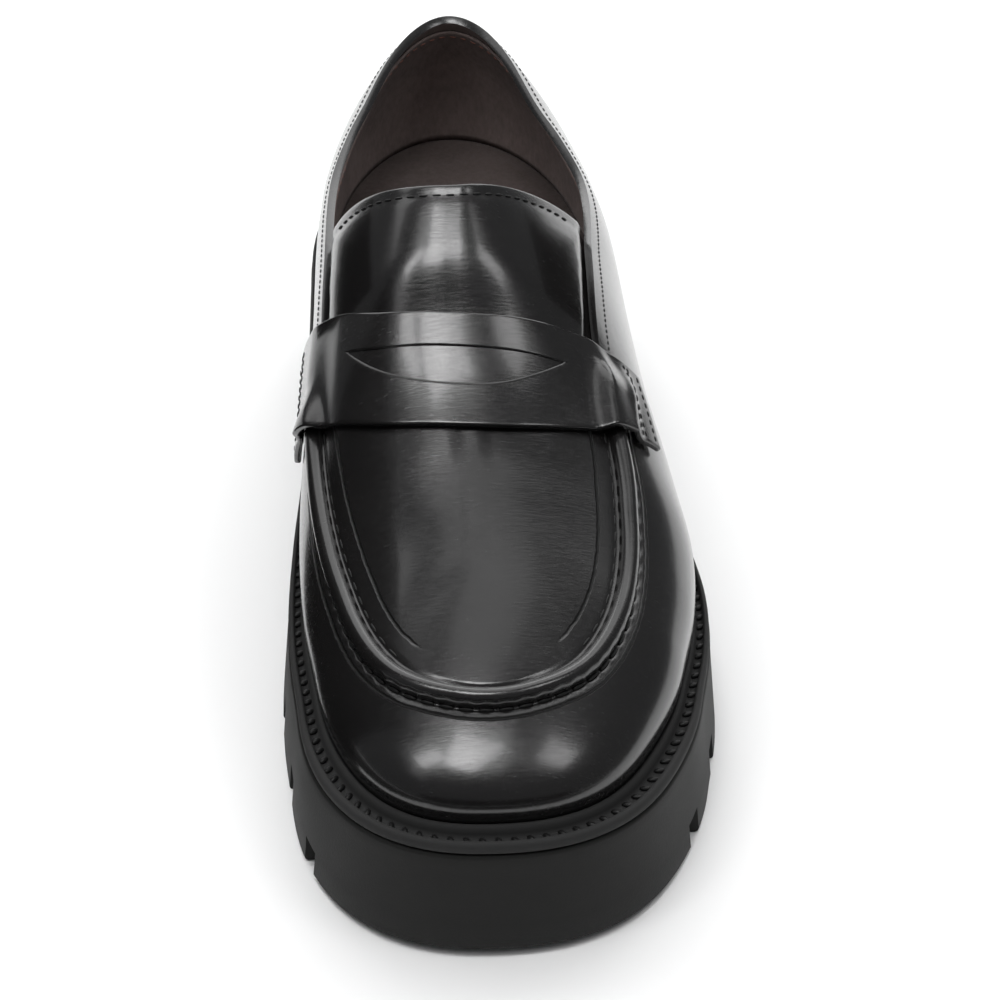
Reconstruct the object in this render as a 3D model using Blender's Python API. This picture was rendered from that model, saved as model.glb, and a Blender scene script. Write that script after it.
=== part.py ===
"""Chunky lug sole loafer, left shoe: outsole, welt, insole, upper, tongue and strap.

The last is one function of an angle round the feather line and of a height up a rib,
and every piece above the sole is drawn on it. Metres, +Z up, toe towards -Y, outer side at +X.
"""

import math

import bmesh
import bpy
import numpy as np

MM = 0.001

# Driving sizes of the sole
SOLE_LENGTH = 300 * MM
SOLE_WIDTH = 114 * MM
PLATFORM = 29 * MM
HEEL_RISE = 12 * MM
TOE_SPRING = 2.6 * MM
ARCH_RISE = 9 * MM
FLARE = 1.8 * MM
TREAD_EDGE = 0.9 * MM
LIP_ROUND = 1.2 * MM
TOE_CAP = 60 * MM
HEEL_CAP = 61 * MM
TOE_SQUARENESS = 2.3
HEEL_SQUARENESS = 2.0

# Lugs
GROOVE_WIDTH = 7 * MM
GROOVE_DEPTH = 8.5 * MM
GROOVE_PITCH = 28.5 * MM
GROOVE_SLANT = 7.5 * MM
FIRST_GROOVE = 38 * MM
HEEL_GROOVE = 26 * MM
CHANNEL_WIDTH = 4 * MM
CHANNEL_DEPTH = 5 * MM
CHANNEL_SPACING = 36 * MM

# Welt, insole and clearances
WELT_WIDTH = 8.5 * MM
WELT_THICKNESS = 3 * MM
WELT_TUCK = 6 * MM
INSOLE_THICKNESS = 3 * MM
GAP = 0.3 * MM
CURVED_GAP = 0.4 * MM

# The last
INSTEP_HEIGHT = 90 * MM
COLLAR_HEIGHT = 45 * MM
BULGE = 4 * MM
LEAN = 13 * MM
CREST_SHIFT = 4 * MM
TOE_POLE = 52 * MM
HEEL_POLE = 62 * MM

# Leather pieces
WALL = 2.2 * MM
RIDGE_WIDTH = 5.8 * MM
RIDGE_HEIGHT = 3.2 * MM
TONGUE_THICKNESS = 1.6 * MM
TONGUE_TUCK = 6 * MM
TONGUE_LIP = 5 * MM
TONGUE_GAP = 0.6 * MM
STRAP_THICKNESS = 1.8 * MM
STRAP_DRAPE = 9 * MM
STRAP_GAP = 0.6 * MM

# Stations along the shoe, as shares of its length from the toe
THROAT = 0.43
RIDGE_END = 0.465
RIDGE_FADE = 0.05
FOREFOOT_FLAT = 0.22
RISE_START = 0.34
RISE_END = 0.80
ARCH_START = 0.43
ARCH_END = 0.65
ARCH_RAMP = 0.09
HEEL_BREAST = 0.05
HEEL_CURL = 0.93
TONGUE_START = 0.39
TONGUE_TOP = 0.557
TONGUE_CORNER = 0.105

FRONT_RIBS = 26
BACK_RIBS = 26

OUTLINE_COLUMNS = ("along", "inner", "outer")
OUTLINE = (
    (0.00, 0.428, 0.460),
    (0.10, 0.426, 0.464),
    (0.20, 0.434, 0.503),
    (0.27, 0.446, 0.532),
    (0.34, 0.446, 0.538),
    (0.42, 0.433, 0.508),
    (0.51, 0.407, 0.466),
    (0.61, 0.388, 0.436),
    (0.72, 0.373, 0.410),
    (0.85, 0.360, 0.378),
    (1.00, 0.350, 0.360),
)

# Each column is a share of the size that it follows; fullness is a superellipse's power
FORM_COLUMNS = ("along", "crest", "shift", "welt", "bulge")
FORM = (
    (0.00, 0.200, 0.00, 1.00, 0.55),
    (0.10, 0.270, 0.00, 0.95, 0.62),
    (0.20, 0.370, 0.25, 0.75, 0.75),
    (0.30, 0.480, 0.62, 0.60, 0.75),
    (0.40, 0.630, 1.00, 0.52, 0.75),
    (0.50, 0.850, 1.00, 0.48, 0.75),
    (0.60, 1.030, 0.75, 0.42, 0.75),
    (0.72, 1.130, 0.25, 0.38, 0.88),
    (0.85, 1.190, 0.00, 0.42, 0.92),
    (1.00, 1.220, 0.00, 0.42, 1.00),
)

SIDE_COLUMNS = (
    "along", "inner_fullness", "outer_fullness", "inner_lean", "outer_lean", "inner_edge", "outer_edge",
)
SIDES = (
    (0.00, 2.60, 2.60, 0.00, 0.00, 0.770, 0.770),
    (0.10, 2.50, 2.50, 0.00, 0.00, 0.575, 0.595),
    (0.20, 2.40, 2.40, 0.00, 0.00, 0.475, 0.540),
    (0.30, 2.40, 2.30, 0.00, 0.00, 0.420, 0.550),
    (0.40, 2.45, 2.25, 0.00, 0.12, 0.375, 0.540),
    (0.50, 2.60, 2.25, 0.04, 0.35, 0.320, 0.440),
    (0.60, 2.75, 2.40, 0.20, 0.65, 0.250, 0.310),
    (0.72, 3.00, 2.70, 0.45, 0.88, 0.195, 0.205),
    (0.85, 3.30, 3.20, 1.10, 1.45, 0.172, 0.172),
    (0.93, 3.40, 3.40, 1.05, 1.20, 0.178, 0.178),
    (1.00, 3.50, 3.50, 0.88, 0.88, 0.184, 0.184),
)

# Across runs from the inner end at -1 over the crest at 0 to the outer end at 1
STRAP_COLUMNS = ("across", "drop", "front", "rear")
STRAP = (
    (-1.00, -0.87, 0.453, 0.545),
    (-0.66, -0.58, 0.413, 0.503),
    (-0.33, -0.28, 0.376, 0.466),
    (0.00, 0.00, 0.362, 0.453),
    (0.33, 0.20, 0.364, 0.453),
    (0.66, 0.42, 0.379, 0.458),
    (1.00, 0.63, 0.397, 0.464),
)
SLOT_INNER = -0.47
SLOT_OUTER = 0.48
SLOT_MIDDLE = 0.56
SLOT_TIP = 0.66
SLOT_HALF = 0.16

# Levels of the upper, as shares of the way from the feather to the ridge's foot
WALL_LEVELS = (0.0, 0.14, 0.30, 0.46, 0.62, 0.80)
# Half widths of the ridge from its middle, and its height there
RIDGE_LEVELS = ((-1.0, 0.0), (-0.62, 0.82), (0.0, 1.0), (0.62, 0.82), (1.0, 0.0))
PLUG_LEVELS = (0.2, 0.4, 0.6, 0.8, 1.0)

TOE_Y = -SOLE_LENGTH / 2


def read(table, columns, name, along):
    """The value of a table's column, on a smooth curve through its rows."""
    rows = np.array(table)
    x = rows[:, 0]
    y = rows[:, columns.index(name)]
    slope = np.gradient(y, x)
    along = np.clip(along, x[0], x[-1])
    i = np.clip(np.searchsorted(x, along, side="right") - 1, 0, len(x) - 2)
    step = x[i + 1] - x[i]
    u = (along - x[i]) / step
    start = y[i] * (1 + 2 * u) * (1 - u) ** 2 + slope[i] * step * u * (1 - u) ** 2
    end = y[i + 1] * u * u * (3 - 2 * u) - slope[i + 1] * step * u * u * (1 - u)
    return start + end


def ease(x):
    x = np.clip(x, 0.0, 1.0)
    return x * x * (3 - 2 * x)


def round_end(distance, length, squareness):
    """How much of its width an outline has at a distance from its rounded end."""
    e = np.clip(1 - distance / length, 0.0, 1.0)
    return np.maximum(1 - e ** squareness, 0.0) ** (1 / squareness)


def widest(name):
    column = OUTLINE_COLUMNS.index(name)
    return max(row[column] for row in OUTLINE)


AXIS_X = (widest("inner") - widest("outer")) / 2 * SOLE_WIDTH


def share_round(angle):
    """Share of the length reached by an angle round the sole: 0 at the toe, pi at the heel."""
    return (1 - np.cos(angle)) / 2


def angle_of(share):
    return math.acos(1 - 2 * share)


def share_along(y):
    return (y - TOE_Y) / SOLE_LENGTH


def sided(name, angle):
    share = share_round(angle)
    outer = read(SIDES, SIDE_COLUMNS, "outer_" + name, share)
    inner = read(SIDES, SIDE_COLUMNS, "inner_" + name, share)
    return np.where(np.sin(angle) >= 0, outer, inner)


def ground_line(angle):
    """The sole's outline on the ground."""
    share = share_round(angle)
    outer = read(OUTLINE, OUTLINE_COLUMNS, "outer", share)
    inner = read(OUTLINE, OUTLINE_COLUMNS, "inner", share)
    side = np.where(np.sin(angle) >= 0, 1.0, -1.0)
    half = np.where(side > 0, outer, inner) * SOLE_WIDTH
    half = half * round_end(share * SOLE_LENGTH, TOE_CAP, TOE_SQUARENESS)
    half = half * round_end((1 - share) * SOLE_LENGTH, HEEL_CAP, HEEL_SQUARENESS)
    return AXIS_X + side * half, TOE_Y + share * SOLE_LENGTH


def outward(angle):
    """Direction away from the sole, square to its outline."""
    ahead_x, ahead_y = ground_line(angle + 1e-3)
    behind_x, behind_y = ground_line(angle - 1e-3)
    nx, ny = ahead_y - behind_y, behind_x - ahead_x
    length = np.hypot(nx, ny)
    return nx / length, ny / length


def ring(angle, inset):
    x, y = ground_line(angle)
    nx, ny = outward(angle)
    return x - nx * inset, y - ny * inset


def seat(y):
    """Height of the sole's upper edge."""
    share = share_along(y)
    toe = np.clip(1 - share / RISE_START, 0.0, 1.0) ** 2
    return PLATFORM + TOE_SPRING * toe + HEEL_RISE * ease((share - RISE_START) / (RISE_END - RISE_START))


def tread(y):
    """Height of the sole's underside: toe spring, flat forefoot, arch and flat heel."""
    share = share_along(y)
    toe = np.clip(1 - share / FOREFOOT_FLAT, 0.0, 1.0) ** 2
    heel = np.clip((share - HEEL_CURL) / (1 - HEEL_CURL), 0.0, 1.0) ** 2
    arch = ease((share - ARCH_START) / ARCH_RAMP) * (1 - ease((share - ARCH_END) / HEEL_BREAST + 1))
    return TOE_SPRING * toe + TOE_SPRING / 2 * heel + ARCH_RISE * arch


def crest(y):
    """Height of the last's top line."""
    return PLATFORM + WELT_THICKNESS + INSTEP_HEIGHT * read(FORM, FORM_COLUMNS, "crest", share_along(y))


def form(name, angle):
    return read(FORM, FORM_COLUMNS, name, share_round(angle))


def feather_inset(angle):
    return FLARE + WELT_WIDTH * form("welt", angle)


def last(angle, up):
    """A point of the last, on the rib at an angle, from 0 at the feather line to 1 at the crest."""
    angle, up = np.broadcast_arrays(np.asarray(angle, float), np.asarray(up, float))
    foot_x, foot_y = ring(angle, feather_inset(angle))
    nx, ny = outward(angle)
    power = 2 / sided("fullness", angle)
    turn = up * math.pi / 2
    reach = 1 - np.maximum(np.cos(turn), 0.0) ** power
    rise = np.sin(turn) ** power
    top_x = AXIS_X - CREST_SHIFT * form("shift", angle)
    top_y = TOE_Y + TOE_POLE + share_round(angle) * (SOLE_LENGTH - TOE_POLE - HEEL_POLE)
    x = foot_x + (top_x - foot_x) * reach
    y = foot_y + (top_y - foot_y) * reach
    base = seat(foot_y) + WELT_THICKNESS + 2 * GAP
    height = (crest(y) - base) * rise
    swell = BULGE * form("bulge", angle) * np.sin(math.pi * rise)
    lean = LEAN * sided("lean", angle) * (height / COLLAR_HEIGHT) ** 2
    out = (swell - lean) * (1 - reach)
    return np.stack([x + nx * out, y + ny * out, base + height], -1)


def skin(angle, up, lift):
    """A point at a height off the last, square to its surface."""
    angle, up, lift = np.broadcast_arrays(*(np.asarray(v, float) for v in (angle, up, lift)))
    step_round, step_up = 2e-3, 4e-3
    round_way = last(angle + step_round, up) - last(angle - step_round, up)
    up_way = last(angle, np.minimum(up + step_up, 1.0)) - last(angle, np.maximum(up - step_up, 0.0))
    normal = np.cross(round_way, up_way)
    on_crest = up > 0.999
    normal[on_crest, 0] = 0.0
    normal[on_crest, 2] = np.abs(normal[on_crest, 2])
    normal = normal / np.linalg.norm(normal, axis=-1, keepdims=True)
    return last(angle, up) + normal * lift[..., None]


def edge_rate(angle):
    """Length of rib for one unit of up, beside the ridge or topline."""
    edge = sided("edge", angle)
    span = 0.02
    way = last(angle, edge + span) - last(angle, edge - span)
    return np.linalg.norm(way, axis=-1) / (2 * span)


def past_edge(angle, up):
    """Distance up the rib from the middle of the ridge or topline."""
    return (up - sided("edge", angle)) * edge_rate(angle)


def ridge_fade(angle):
    return 1 - ease((share_round(angle) - RIDGE_END + RIDGE_FADE) / RIDGE_FADE)


def angle_at(side, up, y):
    """The rib, on one side, that has the given y at the given up."""
    side, up, y = np.broadcast_arrays(*(np.asarray(v, float) for v in (side, up, y)))
    low = np.full(up.shape, 0.02)
    high = np.full(up.shape, math.pi - 0.02)
    for _ in range(32):
        middle = (low + high) / 2
        ahead = last(side * middle, up)[..., 1] < y
        low = np.where(ahead, middle, low)
        high = np.where(ahead, high, middle)
    return side * (low + high) / 2


def material(name, colour, roughness):
    made = bpy.data.materials.new(name)
    made.use_nodes = True
    shader = made.node_tree.nodes["Principled BSDF"]
    shader.inputs["Base Color"].default_value = (*colour, 1.0)
    shader.inputs["Roughness"].default_value = roughness
    shader.inputs["Metallic"].default_value = 0.0
    return made


def solid(name, points, faces, collection, finish):
    mesh = bpy.data.meshes.new(name)
    mesh.from_pydata([tuple(map(float, p)) for p in points], [], faces)
    mesh.materials.append(finish)
    work = bmesh.new()
    work.from_mesh(mesh)
    bmesh.ops.triangulate(work, faces=work.faces[:], quad_method="SHORT_EDGE")
    bmesh.ops.recalc_face_normals(work, faces=work.faces[:])
    work.to_mesh(mesh)
    work.free()
    mesh.shade_smooth()
    mesh.set_sharp_from_angle(angle=math.radians(40))
    made = bpy.data.objects.new(name, mesh)
    collection.objects.link(made)
    return made


def sheet(name, outer, inner, faces, collection, finish):
    """A closed wall between two skins that share their faces, with its rims closed."""
    count = len(outer)
    sides = [side for face in faces for side in zip(face, face[1:] + face[:1])]
    shared = set(sides)
    walls = [tuple(face) for face in faces]
    walls += [tuple(count + v for v in reversed(face)) for face in faces]
    walls += [(b, a, count + a, count + b) for a, b in sides if (b, a) not in shared]
    return solid(name, np.concatenate([outer, inner]), walls, collection, finish)


def loops(name, rings, collection, finish, closed=False):
    """A solid through rings of the same angles, capped by strips from side to side."""
    count = len(rings[0])
    faces = []
    steps = len(rings) if closed else len(rings) - 1
    for k in range(steps):
        low, high = k * count, (k + 1) % len(rings) * count
        for i in range(count):
            j = (i + 1) % count
            faces.append((low + i, low + j, high + j, high + i))
    if not closed:
        top = (len(rings) - 1) * count
        for i in range(count // 2):
            mirror, behind = (count - i) % count, count - i - 1
            strip = [i, i + 1, behind, mirror]
            strip = [v for n, v in enumerate(strip) if v not in strip[:n]]
            faces.append(tuple(reversed(strip)))
            faces.append(tuple(top + v for v in strip))
    return solid(name, np.concatenate(rings), faces, collection, finish)


def rib_angles():
    """Angles of the ribs, all the way round, with one exactly at the throat on each side."""
    throat = angle_of(THROAT)
    front = [throat * k / FRONT_RIBS for k in range(FRONT_RIBS)]
    back = [throat + (math.pi - throat) * k / BACK_RIBS for k in range(BACK_RIBS + 1)]
    half = front + back
    return np.array(half + [-a for a in reversed(half[1:-1])])


def level(angles, inset, height):
    x, y = ring(angles, inset)
    return np.stack([x, y, height(y)], -1)


def groove(name, width, length, place, turn, height, depth, collection):
    """A box to be cut from the tread, its roof at a depth above the ground."""
    bpy.ops.mesh.primitive_cube_add(size=1, location=(*place, depth - height / 2))
    made = bpy.context.active_object
    made.name = name
    made.scale = (length, width, height)
    made.rotation_euler = (0, 0, turn)
    made.hide_render = True
    made.display_type = "WIRE"
    for other in made.users_collection:
        other.objects.unlink(made)
    collection.objects.link(made)
    return made


def cut(target, cutters):
    for cutter in cutters:
        made = target.modifiers.new(cutter.name, "BOOLEAN")
        made.operation = "DIFFERENCE"
        made.solver = "EXACT"
        made.object = cutter


def groove_places():
    """Distances from the toe of the cross grooves, before and behind the arch."""
    places = []
    place = FIRST_GROOVE
    while place + GROOVE_WIDTH < ARCH_START * SOLE_LENGTH:
        places.append(place)
        place += GROOVE_PITCH
    place = SOLE_LENGTH - HEEL_GROOVE
    while place - GROOVE_WIDTH > ARCH_END * SOLE_LENGTH:
        places.append(place)
        place -= GROOVE_PITCH
    return places


def make_outsole(collection, cutters, finish):
    angles = rib_angles()
    well = feather_inset(angles) + WELT_TUCK + GAP
    plateau = WELT_THICKNESS + GAP
    rings = [
        level(angles, TREAD_EDGE, tread),
        level(angles, 0.0, lambda y: tread(y) + TREAD_EDGE),
        level(angles, FLARE / 2, lambda y: (tread(y) + seat(y)) / 2),
        level(angles, FLARE, lambda y: seat(y) - 3 * LIP_ROUND),
        level(angles, FLARE, lambda y: seat(y) - LIP_ROUND),
        level(angles, FLARE + LIP_ROUND, seat),
        level(angles, well, seat),
        level(angles, well, lambda y: seat(y) + plateau),
    ]
    sole = loops("outsole", rings, collection, finish)
    turn = math.atan2(GROOVE_SLANT, SOLE_WIDTH)
    tools = []
    for number, place in enumerate(groove_places()):
        tools.append(groove(f"groove_{number}", GROOVE_WIDTH, SOLE_WIDTH * 1.3, (AXIS_X, TOE_Y + place),
                            turn, GROOVE_DEPTH * 2, GROOVE_DEPTH, cutters))
    for side in (-1, 1):
        tools.append(groove(f"channel_{side}", CHANNEL_WIDTH, SOLE_LENGTH * 1.1,
                            (AXIS_X + side * CHANNEL_SPACING / 2, 0.0), math.pi / 2,
                            CHANNEL_DEPTH * 3, CHANNEL_DEPTH, cutters))
    cut(sole, tools)
    return sole


def make_welt(collection, finish):
    """A strip round the upper: rounded lip, sunk stitch channel and a bead beside the feather line."""
    angles = rib_angles()
    lip = FLARE + LIP_ROUND / 4
    foot = feather_inset(angles)
    shown = foot - lip
    full = GAP + WELT_THICKNESS
    rings = [
        level(angles, lip, lambda y: seat(y) + GAP + WELT_THICKNESS * 0.15),
        level(angles, lip, lambda y: seat(y) + GAP + WELT_THICKNESS * 0.65),
        level(angles, lip + shown * 0.22, lambda y: seat(y) + full),
        level(angles, lip + shown * 0.55, lambda y: seat(y) + full - WELT_THICKNESS * 0.35),
        level(angles, lip + shown * 0.80, lambda y: seat(y) + full),
        level(angles, foot + WELT_TUCK, lambda y: seat(y) + full),
        level(angles, foot + WELT_TUCK, lambda y: seat(y) + GAP),
        level(angles, lip + LIP_ROUND, lambda y: seat(y) + GAP),
    ]
    return loops("welt", rings, collection, finish, closed=True)


def make_insole(collection, finish):
    angles = rib_angles()[::2]
    rim = feather_inset(angles) + WALL + CURVED_GAP
    base = WELT_THICKNESS + 2 * GAP
    rings = [
        level(angles, rim, lambda y: seat(y) + base),
        level(angles, rim, lambda y: seat(y) + base + INSOLE_THICKNESS * 0.7),
        level(angles, rim + INSOLE_THICKNESS / 2, lambda y: seat(y) + base + INSOLE_THICKNESS),
    ]
    return loops("insole", rings, collection, finish)


def make_upper(collection, finish):
    """Vamp, apron plug and quarters in one wall, with the apron's raised ridge as a step in it."""
    angles = rib_angles()
    edge = sided("edge", angles)
    half = RIDGE_WIDTH / 2 / edge_rate(angles)
    fade = ridge_fade(angles)
    foot = edge - half
    shoulder = edge + half
    levels = [(foot * share, 0 * foot) for share in WALL_LEVELS]
    levels += [(edge + half * place, RIDGE_HEIGHT * high * fade) for place, high in RIDGE_LEVELS]
    band = len(levels)
    levels += [(shoulder + (1 - shoulder) * share, 0 * foot) for share in PLUG_LEVELS]
    count = len(angles)
    outer, inner, number = [], [], {}
    for j, (up, lift) in enumerate(levels):
        raised = skin(angles, up, lift)
        sunk = skin(angles, up, -WALL)
        for i in range(count):
            round_toe = min(i, count - i)
            if j >= band and round_toe > FRONT_RIBS:
                continue
            on_crest = j == len(levels) - 1
            if on_crest and i > count // 2:
                number[i, j] = number[count - i, j]
                continue
            number[i, j] = len(outer)
            outer.append(raised[i])
            inner.append(sunk[i])
    faces = []
    for j in range(len(levels) - 1):
        for i in range(count):
            k = (i + 1) % count
            corners = [(i, j), (k, j), (k, j + 1), (i, j + 1)]
            if all(corner in number for corner in corners):
                faces.append([number[corner] for corner in corners])
    return sheet("upper", np.array(outer), np.array(inner), faces, collection, finish)


def grid_faces(rows, columns):
    faces = []
    for r in range(rows - 1):
        for c in range(columns - 1):
            corner = r * columns + c
            faces.append([corner, corner + 1, corner + columns + 1, corner + columns])
    return faces


def make_tongue(collection, finish):
    """The tongue: under the vamp at its front and under the quarters at its sides."""
    across = np.linspace(-1, 1, 17)
    down = np.linspace(0, 1, 9)
    v, c = np.meshgrid(down, across, indexing="ij")
    side = np.where(c > 0, 1.0, -1.0)
    back = TONGUE_TOP + TONGUE_CORNER * c ** 2
    y = TOE_Y + SOLE_LENGTH * (TONGUE_START + (back - TONGUE_START) * v)
    angle = side * angle_of(0.5) * np.ones_like(c)
    for _ in range(8):
        low = sided("edge", angle) - TONGUE_TUCK / edge_rate(angle)
        up = 1 - np.abs(c) * (1 - low)
        angle = angle_at(side, up, y)
    hidden = -(WALL + TONGUE_GAP)
    behind_throat = (y - last(side * angle_of(THROAT), up)[..., 1]) / TONGUE_LIP
    inside_edge = (past_edge(angle, up) - RIDGE_WIDTH / 2) / TONGUE_LIP
    lift = hidden + WALL * ease(behind_throat - 0.8) * ease(inside_edge - 0.8)
    outer = skin(angle, up, lift).reshape(-1, 3)
    inner = skin(angle, up, lift - TONGUE_THICKNESS).reshape(-1, 3)
    return sheet("tongue", outer, inner, grid_faces(len(down), len(across)), collection, finish)


def strap_lift(angle, up):
    """Height of the strap's underside, which climbs over the apron's ridge."""
    place = np.abs(past_edge(angle, up)) / STRAP_DRAPE
    hump = np.where(place < 1, np.cos(np.minimum(place, 1) * math.pi / 2) ** 2, 0.0)
    return STRAP_GAP + RIDGE_HEIGHT * ridge_fade(angle) * np.minimum(1.0, hump * 1.7)


def make_strap(collection, finish):
    """The saddle strap with its penny slot."""
    across = np.concatenate([
        np.linspace(-1, SLOT_INNER, 8),
        np.linspace(SLOT_INNER, SLOT_OUTER, 13)[1:],
        np.linspace(SLOT_OUTER, 1, 9)[1:],
    ])
    middle = (SLOT_INNER + SLOT_OUTER) / 2
    reach = np.abs(across - middle) / (SLOT_OUTER - middle)
    inside = np.minimum(reach, 1.0)
    centre = SLOT_MIDDLE + (SLOT_TIP - SLOT_MIDDLE) * inside ** 2
    open_half = SLOT_HALF * (1 - inside ** 2)
    drop = read(STRAP, STRAP_COLUMNS, "drop", across)
    up = 1 - np.abs(drop)
    front = read(STRAP, STRAP_COLUMNS, "front", across)
    rear = read(STRAP, STRAP_COLUMNS, "rear", across)
    side = np.where(drop > 0, 1.0, -1.0)
    rows = [0 * centre, centre * 0.45, centre - open_half, centre + open_half, (1 + centre) / 2, 0 * centre + 1]
    outer, inner, number = [], [], {}
    for r, share in enumerate(rows):
        y = TOE_Y + SOLE_LENGTH * (front + (rear - front) * share)
        angle = angle_at(side, up, y)
        low = strap_lift(angle, up)
        top = skin(angle, up, low + STRAP_THICKNESS)
        bottom = skin(angle, up, low)
        for c in range(len(across)):
            if r == 3 and reach[c] > 1 - 1e-6:
                number[r, c] = number[2, c]
                continue
            number[r, c] = len(outer)
            outer.append(top[c])
            inner.append(bottom[c])
    faces = []
    for r in (0, 1, 3, 4):
        for c in range(len(across) - 1):
            faces.append([number[r, c], number[r, c + 1], number[r + 1, c + 1], number[r + 1, c]])
    return sheet("strap", np.array(outer), np.array(inner), faces, collection, finish)


def clear_scene():
    for item in list(bpy.data.objects):
        bpy.data.objects.remove(item, do_unlink=True)


def new_collection(name):
    made = bpy.data.collections.new(name)
    bpy.context.scene.collection.children.link(made)
    return made


def main():
    clear_scene()
    pieces = new_collection("chunky_lug_sole_loafer")
    cutters = new_collection("cutters")
    make_outsole(pieces, cutters, material("rubber", (0.022, 0.022, 0.021), 0.75))
    make_welt(pieces, material("welt_rubber", (0.018, 0.018, 0.018), 0.6))
    make_insole(pieces, material("lining", (0.055, 0.042, 0.040), 0.95))
    make_upper(pieces, material("leather", (0.012, 0.012, 0.013), 0.25))
    make_tongue(pieces, material("tongue_leather", (0.012, 0.012, 0.013), 0.25))
    make_strap(pieces, material("strap_leather", (0.012, 0.012, 0.013), 0.25))


main()
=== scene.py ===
"""Chunky lug sole loafer, left shoe: the visible pieces, their finishes and the studio.

The leather pieces are grids laid on the shoe's last. The last is a function of an angle round
the feather line, 0 at the toe and pi at the heel, and of a height up a rib, 0 at the feather
line and 1 at the crest. Metres, +Z up, toe towards -Y, outer side at +X.
"""

import math

import bpy
import numpy as np
from mathutils import Matrix, Vector


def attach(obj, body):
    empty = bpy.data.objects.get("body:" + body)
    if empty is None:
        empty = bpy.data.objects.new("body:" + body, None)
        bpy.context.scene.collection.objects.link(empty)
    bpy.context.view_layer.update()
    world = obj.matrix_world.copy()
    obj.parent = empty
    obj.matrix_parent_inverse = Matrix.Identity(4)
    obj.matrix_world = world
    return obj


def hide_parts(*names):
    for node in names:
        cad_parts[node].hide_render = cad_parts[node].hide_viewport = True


bl_info = {
    "name": "Lug Sole Loafer",
    "version": (1, 0, 0),
    "blender": (4, 5, 0),
    "location": "View3D > Sidebar > Loafer",
    "description": "Dresses the packed loafer with brushed leather, suede, rubber and stitches",
    "category": "Add Mesh",
}

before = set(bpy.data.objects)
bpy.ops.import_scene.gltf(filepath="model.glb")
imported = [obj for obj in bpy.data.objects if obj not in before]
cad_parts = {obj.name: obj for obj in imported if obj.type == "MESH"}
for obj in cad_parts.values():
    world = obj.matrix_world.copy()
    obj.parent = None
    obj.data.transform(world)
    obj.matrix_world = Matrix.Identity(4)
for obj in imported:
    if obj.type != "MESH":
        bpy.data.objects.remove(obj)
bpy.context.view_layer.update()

MM = 0.001

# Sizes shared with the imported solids
SOLE_LENGTH = 300 * MM
SOLE_WIDTH = 114 * MM
PLATFORM = 29 * MM
HEEL_RISE = 12 * MM
TOE_SPRING = 2.6 * MM
ARCH_RISE = 9 * MM
FLARE = 1.8 * MM
TREAD_EDGE = 0.9 * MM
LIP_ROUND = 1.2 * MM
TOE_CAP = 60 * MM
HEEL_CAP = 61 * MM
TOE_SQUARENESS = 2.3
HEEL_SQUARENESS = 2.0
GROOVE_WIDTH = 7 * MM
GROOVE_DEPTH = 8.5 * MM
GROOVE_PITCH = 28.5 * MM
GROOVE_SLANT = 7.5 * MM
FIRST_GROOVE = 38 * MM
HEEL_GROOVE = 26 * MM
CHANNEL_WIDTH = 4 * MM
CHANNEL_DEPTH = 5 * MM
CHANNEL_SPACING = 36 * MM
CHANNEL_END = 16 * MM
WELT_WIDTH = 8.5 * MM
WELT_THICKNESS = 3 * MM
WELT_TUCK = 6 * MM
INSOLE_THICKNESS = 3 * MM
GAP = 0.3 * MM
CURVED_GAP = 0.4 * MM
INSTEP_HEIGHT = 90 * MM
COLLAR_HEIGHT = 45 * MM
BULGE = 4 * MM
LEAN = 13 * MM
CREST_SHIFT = 4 * MM
TOE_POLE = 52 * MM
HEEL_POLE = 62 * MM
WALL = 2.2 * MM
RIDGE_WIDTH = 5.8 * MM
RIDGE_HEIGHT = 3.2 * MM
TONGUE_THICKNESS = 1.6 * MM
TONGUE_TUCK = 6 * MM
TONGUE_LIP = 5 * MM
TONGUE_GAP = 0.6 * MM
STRAP_THICKNESS = 1.8 * MM
STRAP_DRAPE = 9 * MM
STRAP_GAP = 0.6 * MM

# Stations along the shoe, as shares of its length from the toe
THROAT = 0.43
RIDGE_END = 0.465
RIDGE_FADE = 0.05
FOREFOOT_FLAT = 0.22
RISE_START = 0.34
RISE_END = 0.80
ARCH_START = 0.43
ARCH_END = 0.65
ARCH_RAMP = 0.09
HEEL_BREAST = 0.05
HEEL_CURL = 0.93
TONGUE_START = 0.39
TONGUE_TOP = 0.557
TONGUE_CORNER = 0.105
TONGUE_ROUNDING = 0.025

OUTLINE_COLUMNS = ("along", "inner", "outer")
OUTLINE = (
    (0.00, 0.428, 0.460),
    (0.10, 0.426, 0.464),
    (0.20, 0.434, 0.503),
    (0.27, 0.446, 0.532),
    (0.34, 0.446, 0.538),
    (0.42, 0.433, 0.508),
    (0.51, 0.407, 0.466),
    (0.61, 0.388, 0.436),
    (0.72, 0.373, 0.410),
    (0.85, 0.360, 0.378),
    (1.00, 0.350, 0.360),
)
FORM_COLUMNS = ("along", "crest", "shift", "welt", "bulge")
FORM = (
    (0.00, 0.200, 0.00, 1.00, 0.55),
    (0.10, 0.270, 0.00, 0.95, 0.62),
    (0.20, 0.370, 0.25, 0.75, 0.75),
    (0.30, 0.480, 0.62, 0.60, 0.75),
    (0.40, 0.630, 1.00, 0.52, 0.75),
    (0.50, 0.850, 1.00, 0.48, 0.75),
    (0.60, 1.030, 0.75, 0.42, 0.75),
    (0.72, 1.130, 0.25, 0.38, 0.88),
    (0.85, 1.190, 0.00, 0.42, 0.92),
    (1.00, 1.220, 0.00, 0.42, 1.00),
)
SIDE_COLUMNS = (
    "along", "inner_fullness", "outer_fullness", "inner_lean", "outer_lean", "inner_edge", "outer_edge",
)
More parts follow.
